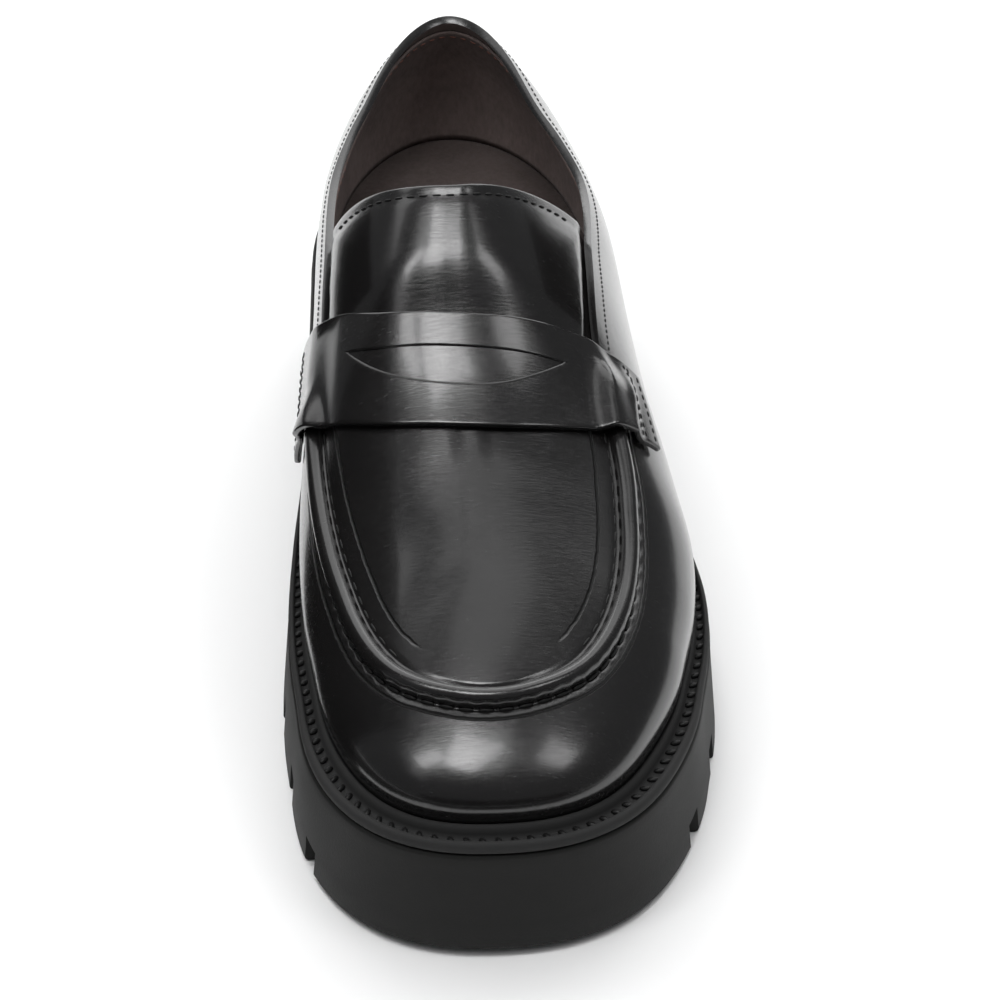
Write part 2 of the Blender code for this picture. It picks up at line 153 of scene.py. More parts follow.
SIDES = (
    (0.00, 2.60, 2.60, 0.00, 0.00, 0.770, 0.770),
    (0.10, 2.50, 2.50, 0.00, 0.00, 0.575, 0.595),
    (0.20, 2.40, 2.40, 0.00, 0.00, 0.475, 0.540),
    (0.30, 2.40, 2.30, 0.00, 0.00, 0.420, 0.550),
    (0.40, 2.45, 2.25, 0.00, 0.12, 0.375, 0.540),
    (0.50, 2.60, 2.25, 0.04, 0.35, 0.320, 0.440),
    (0.60, 2.75, 2.40, 0.20, 0.65, 0.250, 0.310),
    (0.72, 3.00, 2.70, 0.45, 0.88, 0.195, 0.205),
    (0.85, 3.30, 3.20, 1.10, 1.45, 0.172, 0.172),
    (0.93, 3.40, 3.40, 1.05, 1.20, 0.178, 0.178),
    (1.00, 3.50, 3.50, 0.88, 0.88, 0.184, 0.184),
)
STRAP_COLUMNS = ("across", "drop", "front", "rear")
STRAP = (
    (-1.00, -0.87, 0.453, 0.545),
    (-0.66, -0.58, 0.413, 0.503),
    (-0.33, -0.28, 0.376, 0.466),
    (0.00, 0.00, 0.362, 0.453),
    (0.33, 0.20, 0.364, 0.453),
    (0.66, 0.42, 0.379, 0.458),
    (1.00, 0.63, 0.397, 0.464),
)
SLOT_INNER = -0.47
SLOT_OUTER = 0.48
SLOT_MIDDLE = 0.56
SLOT_TIP = 0.66
SLOT_HALF = 0.16

TOE_Y = -SOLE_LENGTH / 2
NEAR_CREST = 0.97

# Soft troughs and swells of the vamp: the side, the place along the shoe and up a rib, and the reaches
FOLD_COLUMNS = ("side", "along", "up", "long", "tall", "height")
VAMP_FOLDS = (
    (1, 0.30, 0.88, 0.035, 0.20, -0.35 * MM),
    (-1, 0.31, 0.90, 0.040, 0.22, 0.30 * MM),
    (1, 0.20, 0.95, 0.050, 0.30, 0.30 * MM),
    (-1, 0.13, 0.85, 0.030, 0.12, -0.25 * MM),
    (1, 0.36, 0.75, 0.030, 0.10, 0.20 * MM),
    (-1, 0.05, 0.42, 0.060, 0.16, 0.25 * MM),
    (1, 0.40, 0.30, 0.050, 0.16, -0.30 * MM),
    (-1, 0.52, 0.16, 0.060, 0.08, -0.30 * MM),
)


def read(table, columns, name, along):
    """The value of a table's column, on a smooth curve through its rows."""
    rows = np.array(table)
    x = rows[:, 0]
    y = rows[:, columns.index(name)]
    slope = np.gradient(y, x)
    along = np.clip(along, x[0], x[-1])
    i = np.clip(np.searchsorted(x, along, side="right") - 1, 0, len(x) - 2)
    step = x[i + 1] - x[i]
    u = (along - x[i]) / step
    start = y[i] * (1 + 2 * u) * (1 - u) ** 2 + slope[i] * step * u * (1 - u) ** 2
    end = y[i + 1] * u * u * (3 - 2 * u) - slope[i + 1] * step * u * u * (1 - u)
    return start + end


def ease(x):
    x = np.clip(x, 0.0, 1.0)
    return x * x * (3 - 2 * x)


def bell(x):
    return np.exp(-x * x)


def round_end(distance, length, squareness):
    e = np.clip(1 - distance / length, 0.0, 1.0)
    return np.maximum(1 - e ** squareness, 0.0) ** (1 / squareness)


def widest(name):
    column = OUTLINE_COLUMNS.index(name)
    return max(row[column] for row in OUTLINE)


AXIS_X = (widest("inner") - widest("outer")) / 2 * SOLE_WIDTH


def share_round(angle):
    return (1 - np.cos(angle)) / 2


def angle_of(share):
    return math.acos(1 - 2 * share)


def share_along(y):
    return (y - TOE_Y) / SOLE_LENGTH


def sided(name, angle):
    share = share_round(angle)
    outer = read(SIDES, SIDE_COLUMNS, "outer_" + name, share)
    inner = read(SIDES, SIDE_COLUMNS, "inner_" + name, share)
    return np.where(np.sin(angle) >= 0, outer, inner)


def ground_line(angle):
    share = share_round(angle)
    outer = read(OUTLINE, OUTLINE_COLUMNS, "outer", share)
    inner = read(OUTLINE, OUTLINE_COLUMNS, "inner", share)
    side = np.where(np.sin(angle) >= 0, 1.0, -1.0)
    half = np.where(side > 0, outer, inner) * SOLE_WIDTH
    half = half * round_end(share * SOLE_LENGTH, TOE_CAP, TOE_SQUARENESS)
    half = half * round_end((1 - share) * SOLE_LENGTH, HEEL_CAP, HEEL_SQUARENESS)
    return AXIS_X + side * half, TOE_Y + share * SOLE_LENGTH


def outward(angle):
    ahead_x, ahead_y = ground_line(angle + 1e-3)
    behind_x, behind_y = ground_line(angle - 1e-3)
    nx, ny = ahead_y - behind_y, behind_x - ahead_x
    length = np.hypot(nx, ny)
    return nx / length, ny / length


def ring(angle, inset):
    x, y = ground_line(angle)
    nx, ny = outward(angle)
    return x - nx * inset, y - ny * inset


def seat(y):
    share = share_along(y)
    toe = np.clip(1 - share / RISE_START, 0.0, 1.0) ** 2
    return PLATFORM + TOE_SPRING * toe + HEEL_RISE * ease((share - RISE_START) / (RISE_END - RISE_START))


def tread(y):
    share = share_along(y)
    toe = np.clip(1 - share / FOREFOOT_FLAT, 0.0, 1.0) ** 2
    heel = np.clip((share - HEEL_CURL) / (1 - HEEL_CURL), 0.0, 1.0) ** 2
    arch = ease((share - ARCH_START) / ARCH_RAMP) * (1 - ease((share - ARCH_END) / HEEL_BREAST + 1))
    return TOE_SPRING * toe + TOE_SPRING / 2 * heel + ARCH_RISE * arch


def crest(y):
    return PLATFORM + WELT_THICKNESS + INSTEP_HEIGHT * read(FORM, FORM_COLUMNS, "crest", share_along(y))


def form(name, angle):
    return read(FORM, FORM_COLUMNS, name, share_round(angle))


def feather_inset(angle):
    return FLARE + WELT_WIDTH * form("welt", angle)


def last(angle, up):
    """A point of the last on the rib at an angle, from 0 at the feather line to 1 at the crest."""
    angle, up = np.broadcast_arrays(np.asarray(angle, float), np.asarray(up, float))
    foot_x, foot_y = ring(angle, feather_inset(angle))
    nx, ny = outward(angle)
    power = 2 / sided("fullness", angle)
    turn = up * math.pi / 2
    reach = 1 - np.maximum(np.cos(turn), 0.0) ** power
    rise = np.sin(turn) ** power
    top_x = AXIS_X - CREST_SHIFT * form("shift", angle)
    top_y = TOE_Y + TOE_POLE + share_round(angle) * (SOLE_LENGTH - TOE_POLE - HEEL_POLE)
    x = foot_x + (top_x - foot_x) * reach
    y = foot_y + (top_y - foot_y) * reach
    base = seat(foot_y) + WELT_THICKNESS + 2 * GAP
    height = (crest(y) - base) * rise
    swell = BULGE * form("bulge", angle) * np.sin(math.pi * rise)
    lean = LEAN * sided("lean", angle) * (height / COLLAR_HEIGHT) ** 2
    out = (swell - lean) * (1 - reach)
    return np.stack([x + nx * out, y + ny * out, base + height], -1)


def skin_normal(angle, up):
    angle, up = np.broadcast_arrays(np.asarray(angle, float), np.asarray(up, float))
    step_round, step_up = 2e-3, 4e-3
    round_way = last(angle + step_round, up) - last(angle - step_round, up)
    up_way = last(angle, np.minimum(up + step_up, 1.0)) - last(angle, np.maximum(up - step_up, 0.0))
    normal = np.cross(round_way, up_way)
    on_crest = up > 0.999
    normal[on_crest, 0] = 0.0
    normal[on_crest, 2] = np.abs(normal[on_crest, 2])
    return normal / np.linalg.norm(normal, axis=-1, keepdims=True)


def skin(angle, up, lift):
    """A point at a height off the last, square to its surface."""
    angle, up, lift = np.broadcast_arrays(*(np.asarray(v, float) for v in (angle, up, lift)))
    return last(angle, up) + skin_normal(angle, up) * lift[..., None]


def edge_rate(angle):
    """Length of rib for one unit of up, beside the ridge or topline."""
    edge = sided("edge", angle)
    span = 0.02
    way = last(angle, edge + span) - last(angle, edge - span)
    return np.linalg.norm(way, axis=-1) / (2 * span)


def past_edge(angle, up):
    """Distance up the rib from the middle of the ridge or topline."""
    return (up - sided("edge", angle)) * edge_rate(angle)


def ridge_fade(angle):
    return 1 - ease((share_round(angle) - RIDGE_END + RIDGE_FADE) / RIDGE_FADE)


def angle_at(side, up, y):
    """The rib, on one side, that has the given y at the given up."""
    side, up, y = np.broadcast_arrays(*(np.asarray(v, float) for v in (side, up, y)))
    low = np.full(up.shape, 0.02)
    high = np.full(up.shape, math.pi - 0.02)
    for _ in range(32):
        middle = (low + high) / 2
        ahead = last(side * middle, up)[..., 1] < y
        low = np.where(ahead, middle, low)
        high = np.where(ahead, high, middle)
    return side * (low + high) / 2


def vamp_folds(angle, up):
    """The soft troughs and swells of the leather, as a height."""
    share = share_round(angle)
    total = np.zeros(np.broadcast(angle, up).shape)
    side = np.sin(angle)
    for row in VAMP_FOLDS:
        fold = dict(zip(FOLD_COLUMNS, row))
        apart = ((share - fold["along"]) / fold["long"]) ** 2 + ((up - fold["up"]) / fold["tall"]) ** 2
        beside = np.where(up > NEAR_CREST, 1.0, ease(0.5 + fold["side"] * side * 4))
        total = total + fold["height"] * np.exp(-apart) * beside
    return total


# Building the pieces

SAME_POINT = 1e-6
ROUNDED_FROM = 2.5 * WELT_THICKNESS
INSIDE = (AXIS_X, 0.0, PLATFORM + COLLAR_HEIGHT / 2)


def nothing_selected():
    if bpy.context.object and bpy.context.object.mode != "OBJECT":
        bpy.ops.object.mode_set(mode="OBJECT")
    bpy.ops.object.select_all(action="DESELECT")


def only(made):
    nothing_selected()
    made.select_set(True)
    bpy.context.view_layer.objects.active = made


def name_piece(made, name):
    made.name = name
    made.data.name = name


def join_all(name, pieces):
    only(pieces[0])
    for piece in pieces[1:]:
        piece.select_set(True)
    if len(pieces) > 1:
        bpy.ops.object.join()
    made = bpy.context.active_object
    name_piece(made, name)
    return made


def lay(name, columns, rows, place):
    """A grid primitive whose vertices are moved onto the shoe; place returns points and attributes."""
    nothing_selected()
    bpy.ops.mesh.primitive_grid_add(x_subdivisions=columns, y_subdivisions=rows, size=1)
    made = bpy.context.active_object
    name_piece(made, name)
    mesh = made.data
    flat = np.zeros(len(mesh.vertices) * 3)
    mesh.vertices.foreach_get("co", flat)
    i = np.rint((flat[0::3] + 0.5) * columns).astype(int)
    j = np.rint((flat[1::3] + 0.5) * rows).astype(int)
    points, marks = place(i, j)
    mesh.vertices.foreach_set("co", points.reshape(-1))
    for key, values in marks.items():
        mark = mesh.attributes.new(key, "FLOAT", "POINT")
        mark.data.foreach_set("value", values)
    mesh.update()
    return made


def weld(name, pieces):
    """Joins grids that share their border points, and faces them all one way."""
    made = join_all(name, pieces)
    bpy.ops.object.mode_set(mode="EDIT")
    bpy.ops.mesh.select_all(action="SELECT")
    bpy.ops.mesh.remove_doubles(threshold=SAME_POINT)
    bpy.ops.mesh.dissolve_degenerate(threshold=SAME_POINT / 10)
    bpy.ops.mesh.select_all(action="SELECT")
    bpy.ops.mesh.normals_make_consistent(inside=False)
    bpy.ops.object.mode_set(mode="OBJECT")
    bpy.ops.object.shade_smooth()
    return made


def face_out(made):
    """Turns an open sheet's faces away from the inside of the shoe."""
    total = 0.0
    for face in made.data.polygons:
        total += face.area * face.normal.dot(face.center - Vector(INSIDE))
    if total < 0:
        only(made)
        bpy.ops.object.mode_set(mode="EDIT")
        bpy.ops.mesh.select_all(action="SELECT")
        bpy.ops.mesh.flip_normals()
        bpy.ops.object.mode_set(mode="OBJECT")


def thicken(made, thickness, rounding, segments):
    """Gives a sheet its wall, inwards, and rounds the rims that stand clear of the sole.

    The wall's inner side takes the piece's second material, and its rims the third.
    """
    only(made)
    wall = made.modifiers.new("wall", "SOLIDIFY")
    wall.thickness = thickness
    wall.offset = -1
    wall.use_even_offset = False
    wall.use_rim = True
    wall.material_offset = 1
    wall.material_offset_rim = 2
    bpy.ops.object.modifier_apply(modifier="wall")
    mesh = made.data
    bpy.ops.object.mode_set(mode="EDIT")
    bpy.ops.mesh.select_all(action="DESELECT")
    bpy.ops.object.mode_set(mode="OBJECT")
    seen = {}
    for face in mesh.polygons:
        for key in face.edge_keys:
            seen.setdefault(key, set()).add(face.material_index == 2)
    for edge in mesh.edges:
        place = mesh.vertices[edge.vertices[0]].co
        edge.select = len(seen.get(edge.key, ())) == 2 and place.z > seat(place.y) + ROUNDED_FROM
    bpy.ops.object.mode_set(mode="EDIT")
    bpy.ops.mesh.select_mode(type="EDGE")
    bpy.ops.mesh.bevel(offset=rounding, segments=segments, affect="EDGES", clamp_overlap=True)
    bpy.ops.object.mode_set(mode="OBJECT")
    bpy.ops.object.shade_smooth()


def round_ribs(front, back):
    """Angles from heel to heel, the last the same rib as the first, with one on the throat on each side."""
    throat = angle_of(THROAT)
    half = np.concatenate([np.linspace(0, throat, front + 1), np.linspace(throat, math.pi, back + 1)[1:]])
    return np.concatenate([-half[::-1], half[1:]])


def finish_piece(made, node, slot, *materials):
    """Gives a piece its materials and its body, and hides the imported node that it stands for. Its slot is
    not used.
    """
    made.data.materials.clear()
    for material in materials:
        made.data.materials.append(material)
    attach(made, "root")
    if node:
        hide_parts(node)


def finish_sheet(made, node, slot, materials, thickness, rounding, segments=3):
    """Finishes a sheet on the last; its materials are for its outer side, inner side and rims."""
    face_out(made)
    finish_piece(made, node, slot, *materials)
    thicken(made, thickness, rounding, segments)


# Finishes. Noise scales are in cycles a metre, and a cut line's places are distances from the apron's seam.

BRUSH_TURN = math.radians(-58)
BRUSH_STRETCH = (1.0, 7.0, 3.0)
BRUSH_SCALE = 260.0
PATCH_SCALE = 28.0
GRAIN_SCALE = 900.0
NAP_SCALE = 700.0
SPECKLE_SCALE = 1400.0
TWIST_SCALE = 1800.0
LEATHER_COAT = 0.45
PUCKER_LINE = -3.0 * MM
PUCKER_HALF = 1.8 * MM
OUTER_CUT_HALF = 0.70 * MM
INNER_CUT_HALF = 0.55 * MM
CUT_RAGGED = 0.6 * MM
CUT_DEPTH = 0.9 * MM
# Painted shade: the dark colour that the cut lines' grooves are painted with
PAINTED_CUT_SHADE = (0.001, 0.001, 0.001)
FRONT_FADE = (0.36, 0.42)
INNER_CUT_START = (0.08, 0.13)
INNER_CUT_END = (0.42, 0.44)
# Painted shade: the factor by which the footbed's suede colours are darkened
FOOTBED_PAINTED_SHADE = 0.42
WELT_SHADE = 0.5


class Value:
    """A socket of a shader tree, on which sums and products add Math nodes."""

    def __init__(self, finish, socket):
        self.finish = finish
        self.socket = socket

    def math(self, operation, *others):
        names = dict(enumerate((self, *others)))
        return self.finish.node("ShaderNodeMath", {"operation": operation}, names)

    def __add__(self, other):
        return self.math("ADD", other)

    __radd__ = __add__

    def __sub__(self, other):
        return self.math("SUBTRACT", other)

    def __rsub__(self, other):
        return self.finish.node("ShaderNodeMath", {"operation": "SUBTRACT"}, {0: other, 1: self})

    def __mul__(self, other):
        return self.math("MULTIPLY", other)

    __rmul__ = __mul__

    def __truediv__(self, other):
        return self.math("DIVIDE", other)

    def __abs__(self):
        return self.math("ABSOLUTE")

    def clamped(self):
        return self.math("MINIMUM", 1.0).math("MAXIMUM", 0.0)


class Finish:
    """A material and its Principled shader."""

    def __init__(self, name, **constants):
        self.material = bpy.data.materials.new(name)
        self.material.use_nodes = True
        self.tree = self.material.node_tree
        self.shader = self.tree.nodes["Principled BSDF"]
        for key, value in constants.items():
            self.shader.inputs[key.replace("_", " ").title().replace("Ior", "IOR")].default_value = value

    def node(self, kind, settings=None, sockets=None, output=0):
        made = self.tree.nodes.new(kind)
        for key, value in (settings or {}).items():
            setattr(made, key, value)
        for key, value in (sockets or {}).items():
            if isinstance(value, Value):
                self.tree.links.new(value.socket, made.inputs[key])
            else:
                made.inputs[key].default_value = value
        return Value(self, made.outputs[output])

    def place(self, turn=(0, 0, 0), scale=(1, 1, 1)):
        """Object coordinates, turned and then stretched."""
        at = self.node("ShaderNodeTexCoord", output="Object")
        return self.node("ShaderNodeMapping", None, {"Vector": at, "Rotation": turn, "Scale": scale})

    def noise(self, at, scale, detail=2.0, roughness=0.5, distortion=0.0):
        sockets = {"Vector": at, "Scale": scale, "Detail": detail, "Roughness": roughness,
                   "Distortion": distortion}
        return self.node("ShaderNodeTexNoise", None, sockets, output="Fac")

    def mark(self, name):
        return self.node("ShaderNodeAttribute", {"attribute_name": name}, output="Fac")

    def between(self, low, high, value):
        """0 below low, 1 above high, and smooth in between."""
        sockets = {"Value": value, "From Min": low, "From Max": high}
        return self.node("ShaderNodeMapRange", {"interpolation_type": "SMOOTHSTEP"}, sockets)

    def line(self, value, centre, half):
        """1 on a line at a value, falling to 0 at half its width."""
        return 1 - self.between(0.0, half, abs(value - centre))

    def mix(self, factor, a, b):
        """A colour between two, which may be links or plain triples."""
        sockets = {0: factor}
        for slot, colour in ((6, a), (7, b)):
            sockets[slot] = colour if isinstance(colour, Value) else (*colour, 1.0)
        return self.node("ShaderNodeMix", {"data_type": "RGBA"}, sockets, output=2)

    def bump(self, height, strength, distance, normal=None):
        sockets = {"Height": height, "Strength": strength, "Distance": distance}
        if normal is not None:
            sockets["Normal"] = normal
        return self.node("ShaderNodeBump", None, sockets)

    def wear(self, **links):
        """Links varying values to the shader's sockets."""
        for key, value in links.items():
            self.tree.links.new(value.socket, self.shader.inputs[key.replace("_", " ").title()])
        return self.material


def brushed_leather(name, looks, lines=False):
    """Polished black leather with short slanted brush marks; the apron's puckers and cuts if asked, the cuts
    darkened with painted shade.
    """
    finish = Finish(name, coat_weight=LEATHER_COAT, coat_roughness=0.12, specular_ior_level=0.7)
    brush = finish.place(turn=(0.0, 0.0, BRUSH_TURN), scale=BRUSH_STRETCH)
    marks = finish.noise(brush, BRUSH_SCALE, detail=5.0, roughness=0.65)
    patches = finish.noise(finish.place(), PATCH_SCALE, detail=3.0)
    grain = finish.noise(finish.place(), GRAIN_SCALE, detail=2.0)
    tone = finish.mix(patches, looks.leather_colour, looks.leather_tint)
    rough = looks.leather_roughness + (marks - 0.5) * looks.brush_strength + (patches - 0.5) * 0.10
    normal = finish.bump(marks, 0.18, 0.25 * MM)
    normal = finish.bump(grain, 0.06, 0.1 * MM, normal)
    if lines:
        ridge = finish.mark("ridge")
        along = finish.mark("along")
        front = 1 - finish.between(*FRONT_FADE, along)
        pinch = (finish.mark("stitch") * (2 * math.pi)).math("COSINE")
        pucker = pinch * finish.line(ridge, PUCKER_LINE, PUCKER_HALF) * front
        normal = finish.bump(pucker, 0.6, 0.3 * MM, normal)
        ragged = (finish.noise(finish.place(), 420.0, detail=2.0) - 0.5) * CUT_RAGGED
        outer = finish.line(ridge + ragged, looks.outer_line, OUTER_CUT_HALF) * front
        inner = finish.line(ridge + ragged, looks.inner_line, INNER_CUT_HALF)
        inner = inner * finish.between(*INNER_CUT_START, along) * (1 - finish.between(*INNER_CUT_END, along))
        cut = (outer + inner).clamped()
        # Painted shade: the leather's colour is darkened along the cut lines, standing in for the shade in
        # their grooves
        tone = finish.mix(cut * 0.85, tone, PAINTED_CUT_SHADE)
        rough = rough + cut * 0.6
        normal = finish.bump(1 - cut, 1.0, CUT_DEPTH, normal)
        finish.wear(coat_weight=(1 - cut) * LEATHER_COAT)
    return finish.wear(base_color=tone, roughness=rough, normal=normal)


def suede(name, looks, wear=1.0):
    """Napped lining leather, with brushed patches; where its last argument is below 1, both its colours are
    darkened by that factor as painted shade.
    """
    finish = Finish(name, sheen_weight=0.08, sheen_roughness=0.6, specular_ior_level=0.05)
    nap = finish.noise(finish.place(scale=(1.0, 1.0, 0.5)), NAP_SCALE, detail=4.0, roughness=0.7)
    patches = finish.noise(finish.place(), 30.0, detail=4.0, roughness=0.6, distortion=0.4)
    # Painted shade: a factor below 1 darkens both suede colours
    shade, light = ([c * wear for c in colour] for colour in (looks.suede_shade, looks.suede_colour))
    tone = finish.mix((nap * 0.8 + patches - 0.45).clamped(), shade, light)
    rough = 0.88 + nap * 0.12
    normal = finish.bump(nap, 0.45, 0.4 * MM)
    return finish.wear(base_color=tone, roughness=rough, normal=normal)


def moulded_rubber(name, colour, roughness, shine, coat):
    """Black rubber with a fine moulded speckle."""
    finish = Finish(name, specular_ior_level=shine, coat_weight=coat, coat_roughness=0.13)
    speckle = finish.noise(finish.place(), SPECKLE_SCALE, detail=3.0, roughness=0.6)
    cloud = finish.noise(finish.place(), 35.0, detail=3.0)
    spread = (speckle * 0.7 + cloud * 0.5 - 0.1).clamped()
    tone = finish.mix(spread, [c * 0.75 for c in colour], [c * 1.3 for c in colour])
    rough = roughness + (cloud - 0.5) * 0.12 + (speckle - 0.5) * 0.1
    normal = finish.bump(speckle, 0.25, 0.25 * MM)
    return finish.wear(base_color=tone, roughness=rough, normal=normal)


def waxed_thread(name, colour, roughness):
    """Sewing thread with a fine twist."""
    finish = Finish(name, specular_ior_level=0.4)
    twist = finish.noise(finish.place(), TWIST_SCALE, detail=1.0)
    tone = finish.mix(twist, [c * 0.6 for c in colour], [c * 1.5 for c in colour])
    rough = roughness + (twist - 0.5) * 0.2
    return finish.wear(base_color=tone, roughness=rough, normal=finish.bump(twist, 0.4, 0.2 * MM))


def finishes(context):
    """The shoe's materials, made once and then looked up."""
    looks = context.scene.loafer_looks
    made = bpy.data.materials
    if "vamp_leather" not in made:
        brushed_leather("vamp_leather", looks, lines=True)
        brushed_leather("plain_leather", looks)
        suede("suede_lining", looks)
        # Painted shade: the footbed's suede is darkened by this factor
        suede("footbed_suede", looks, FOOTBED_PAINTED_SHADE)
        moulded_rubber("sole_rubber", looks.rubber_colour, looks.rubber_roughness, shine=0.28, coat=0.0)
        welt_colour = [c * WELT_SHADE for c in looks.rubber_colour]
        moulded_rubber("welt_rubber", welt_colour, looks.welt_roughness, shine=0.6, coat=1.0)
        waxed_thread("black_thread", looks.thread_colour, roughness=0.5)
        waxed_thread("lining_thread", looks.lining_thread_colour, roughness=0.8)
    return made


class LoaferShape(bpy.types.PropertyGroup):
    ridge_height: bpy.props.FloatProperty(
        name="Ridge height", description="How far the apron's rolled seam stands off the vamp",
        default=RIDGE_HEIGHT, min=0.0, unit="LENGTH")
    crease_depth: bpy.props.FloatProperty(
        name="Crease depth", description="Depth of the crease at both feet of the apron's seam",
        default=0.5 * MM, min=0.0, unit="LENGTH")
    apron_pitch: bpy.props.FloatProperty(
        name="Apron stitch pitch", description="Spacing of the stitches beside the apron's seam",
        default=5.0 * MM, min=MM, unit="LENGTH")
    collar_pitch: bpy.props.FloatProperty(
        name="Collar stitch pitch", description="Spacing of the fine stitches below the collar",
        default=2.1 * MM, min=MM, unit="LENGTH")
    collar_inset: bpy.props.FloatProperty(
        name="Collar stitch inset", description="Distance of the collar's stitches from its edge",
        default=4.2 * MM, min=0.0, unit="LENGTH")
    tongue_pitch: bpy.props.FloatProperty(
        name="Tongue stitch pitch", description="Spacing of the stitches along the tongue's edge",
        default=3.4 * MM, min=MM, unit="LENGTH")
    welt_pitch: bpy.props.FloatProperty(
        name="Welt stitch pitch", description="Spacing of the stitches in the welt's channel",
        default=4.0 * MM, min=MM, unit="LENGTH")
    lining_drop: bpy.props.FloatProperty(
        name="Lining drop", description="Distance of the lining's edge below the collar's edge",
        default=4.5 * MM, min=0.0, unit="LENGTH")


class LoaferLooks(bpy.types.PropertyGroup):
    leather_colour: bpy.props.FloatVectorProperty(
        name="Leather", description="Colour of the polished leather", subtype="COLOR",
        default=(0.0045, 0.0045, 0.0048), min=0.0, max=1.0)
    leather_tint: bpy.props.FloatVectorProperty(
        name="Leather tint", description="Colour of the leather where it is brushed off", subtype="COLOR",
        default=(0.0090, 0.0082, 0.0080), min=0.0, max=1.0)
    leather_roughness: bpy.props.FloatProperty(
        name="Leather roughness", description="Roughness of the polished leather",
        default=0.22, min=0.0, max=1.0, subtype="FACTOR")
    brush_strength: bpy.props.FloatProperty(
        name="Brush marks", description="How much the brush marks change the leather's roughness",
        default=0.30, min=0.0, max=1.0, subtype="FACTOR")
    outer_line: bpy.props.FloatProperty(
        name="Outer cut line", description="Distance of the vamp's cut line from the apron's seam",
        default=-6.0 * MM, unit="LENGTH")
    inner_line: bpy.props.FloatProperty(
        name="Inner cut line", description="Distance of the plug's cut line from the apron's seam",
        default=9.0 * MM, unit="LENGTH")
    suede_colour: bpy.props.FloatVectorProperty(
        name="Suede", description="Colour of the suede lining where its nap catches light",
        subtype="COLOR", default=(0.330, 0.265, 0.250), min=0.0, max=1.0)
    suede_shade: bpy.props.FloatVectorProperty(
        name="Suede shade", description="Colour of the suede lining against the nap", subtype="COLOR",
        default=(0.120, 0.092, 0.085), min=0.0, max=1.0)
    rubber_colour: bpy.props.FloatVectorProperty(
        name="Rubber", description="Colour of the sole", subtype="COLOR",
        default=(0.0095, 0.0095, 0.0090), min=0.0, max=1.0)
    rubber_roughness: bpy.props.FloatProperty(
        name="Rubber roughness", description="Roughness of the sole",
        default=0.62, min=0.0, max=1.0, subtype="FACTOR")
    welt_roughness: bpy.props.FloatProperty(
        name="Welt roughness", description="Roughness of the welt",
        default=0.34, min=0.0, max=1.0, subtype="FACTOR")
    thread_colour: bpy.props.FloatVectorProperty(
        name="Thread", description="Colour of the black thread", subtype="COLOR",
        default=(0.006, 0.006, 0.006), min=0.0, max=1.0)
    lining_thread_colour: bpy.props.FloatVectorProperty(
        name="Lining thread", description="Colour of the thread along the lining's edge", subtype="COLOR",
        default=(0.300, 0.140, 0.110), min=0.0, max=1.0)


# The apron's seam: places across it are in its half widths, and the stitches end at a rib

RIDGE_TURNS = np.radians(np.linspace(-90, 90, 15))
RIDGE_FULLNESS = 1.15
CREASE_PLACES = np.array([1.45, 1.25, 1.1])
CREASE_MIDDLE = 1.08
CREASE_SPREAD = 0.2
SEAM_END = angle_of(0.41)
INNER_SEAM_START = angle_of(0.10)
OUTER_SEAM = RIDGE_WIDTH / 2 + 0.35 * MM
PLUG_SEAM = RIDGE_WIDTH / 2 + 1.2 * MM
COLLAR_SEAM_START = angle_of(0.455)

# Grids: ribs before and behind the throat on each side, and rows up a rib

UPPER_RIBS = (84, 84)
LINING_RIBS = (60, 70)
SOLE_RIBS = (90, 90)
INSOLE_RIBS = (70, 70)
WALL_ROWS = 26
WALL_CROWDING = 1.5
PLUG_ROWS = 30
LINING_ROWS = 26
LINING_START = 0.06
LINING_CROWDING = 1.75
TONGUE_GRID = (96, 60)
STRAP_COLUMNS_PER_END = 34
SLOT_COLUMNS = 72
STRAP_ROWS = 14
BACKING_GRID = (60, 10)

# Walls and rounded rims of the sheets

UPPER_RIM = 0.85 * MM
LINING_WALL = 0.8 * MM
LINING_RIM = 0.3 * MM
LINING_GAP = 0.15 * MM
TONGUE_RIM = 0.6 * MM
STRAP_RIM = 0.45 * MM
BACKING_WALL = 0.8 * MM
BACKING_RIM = 0.1 * MM
BACKING_DEPTH = 0.5 * MM
TONGUE_DENT = 0.15 * MM
TONGUE_DENT_PLACE = 0.945
TONGUE_DENT_REACH = 0.018


def ridge_rows():
    """Half widths across the apron's seam, from outside it to inside it."""
    return np.concatenate([-CREASE_PLACES, np.sin(RIDGE_TURNS), CREASE_PLACES[::-1]])


def seam_lift(angle, place, shape):
    """Height of the leather at a place across the apron's seam, in half widths."""
    inside = np.sqrt(np.maximum(1 - np.minimum(np.abs(place), 1.0) ** 2, 0.0)) ** RIDGE_FULLNESS
    crease = bell((np.abs(place) - CREASE_MIDDLE) / CREASE_SPREAD)
    return (shape.ridge_height * inside - shape.crease_depth * crease) * ridge_fade(angle)


def beside_ridge(start, end, past, lift):
    """A path between two ribs at a distance from the apron's seam."""
    angles = np.linspace(start, end, 400)
    up = sided("edge", angles) + past / edge_rate(angles)
    return skin(angles, up, lift), skin_normal(angles, up)


def outer_seam():
    """Where the stitches at the outer foot of the apron's seam run."""
    return beside_ridge(-SEAM_END, SEAM_END, -OUTER_SEAM, -0.15 * MM)


def stitches_before(angle, shape):
    """How many of the outer seam's stitches lie before a rib."""
    points, _ = outer_seam()
    travelled = np.concatenate([[0.0], np.cumsum(np.linalg.norm(np.diff(points, axis=0), axis=1))])
    count = int(travelled[-1] / shape.apron_pitch)
    ribs = np.linspace(-SEAM_END, SEAM_END, len(points))
    return np.interp(angle, ribs, travelled) * count / travelled[-1]


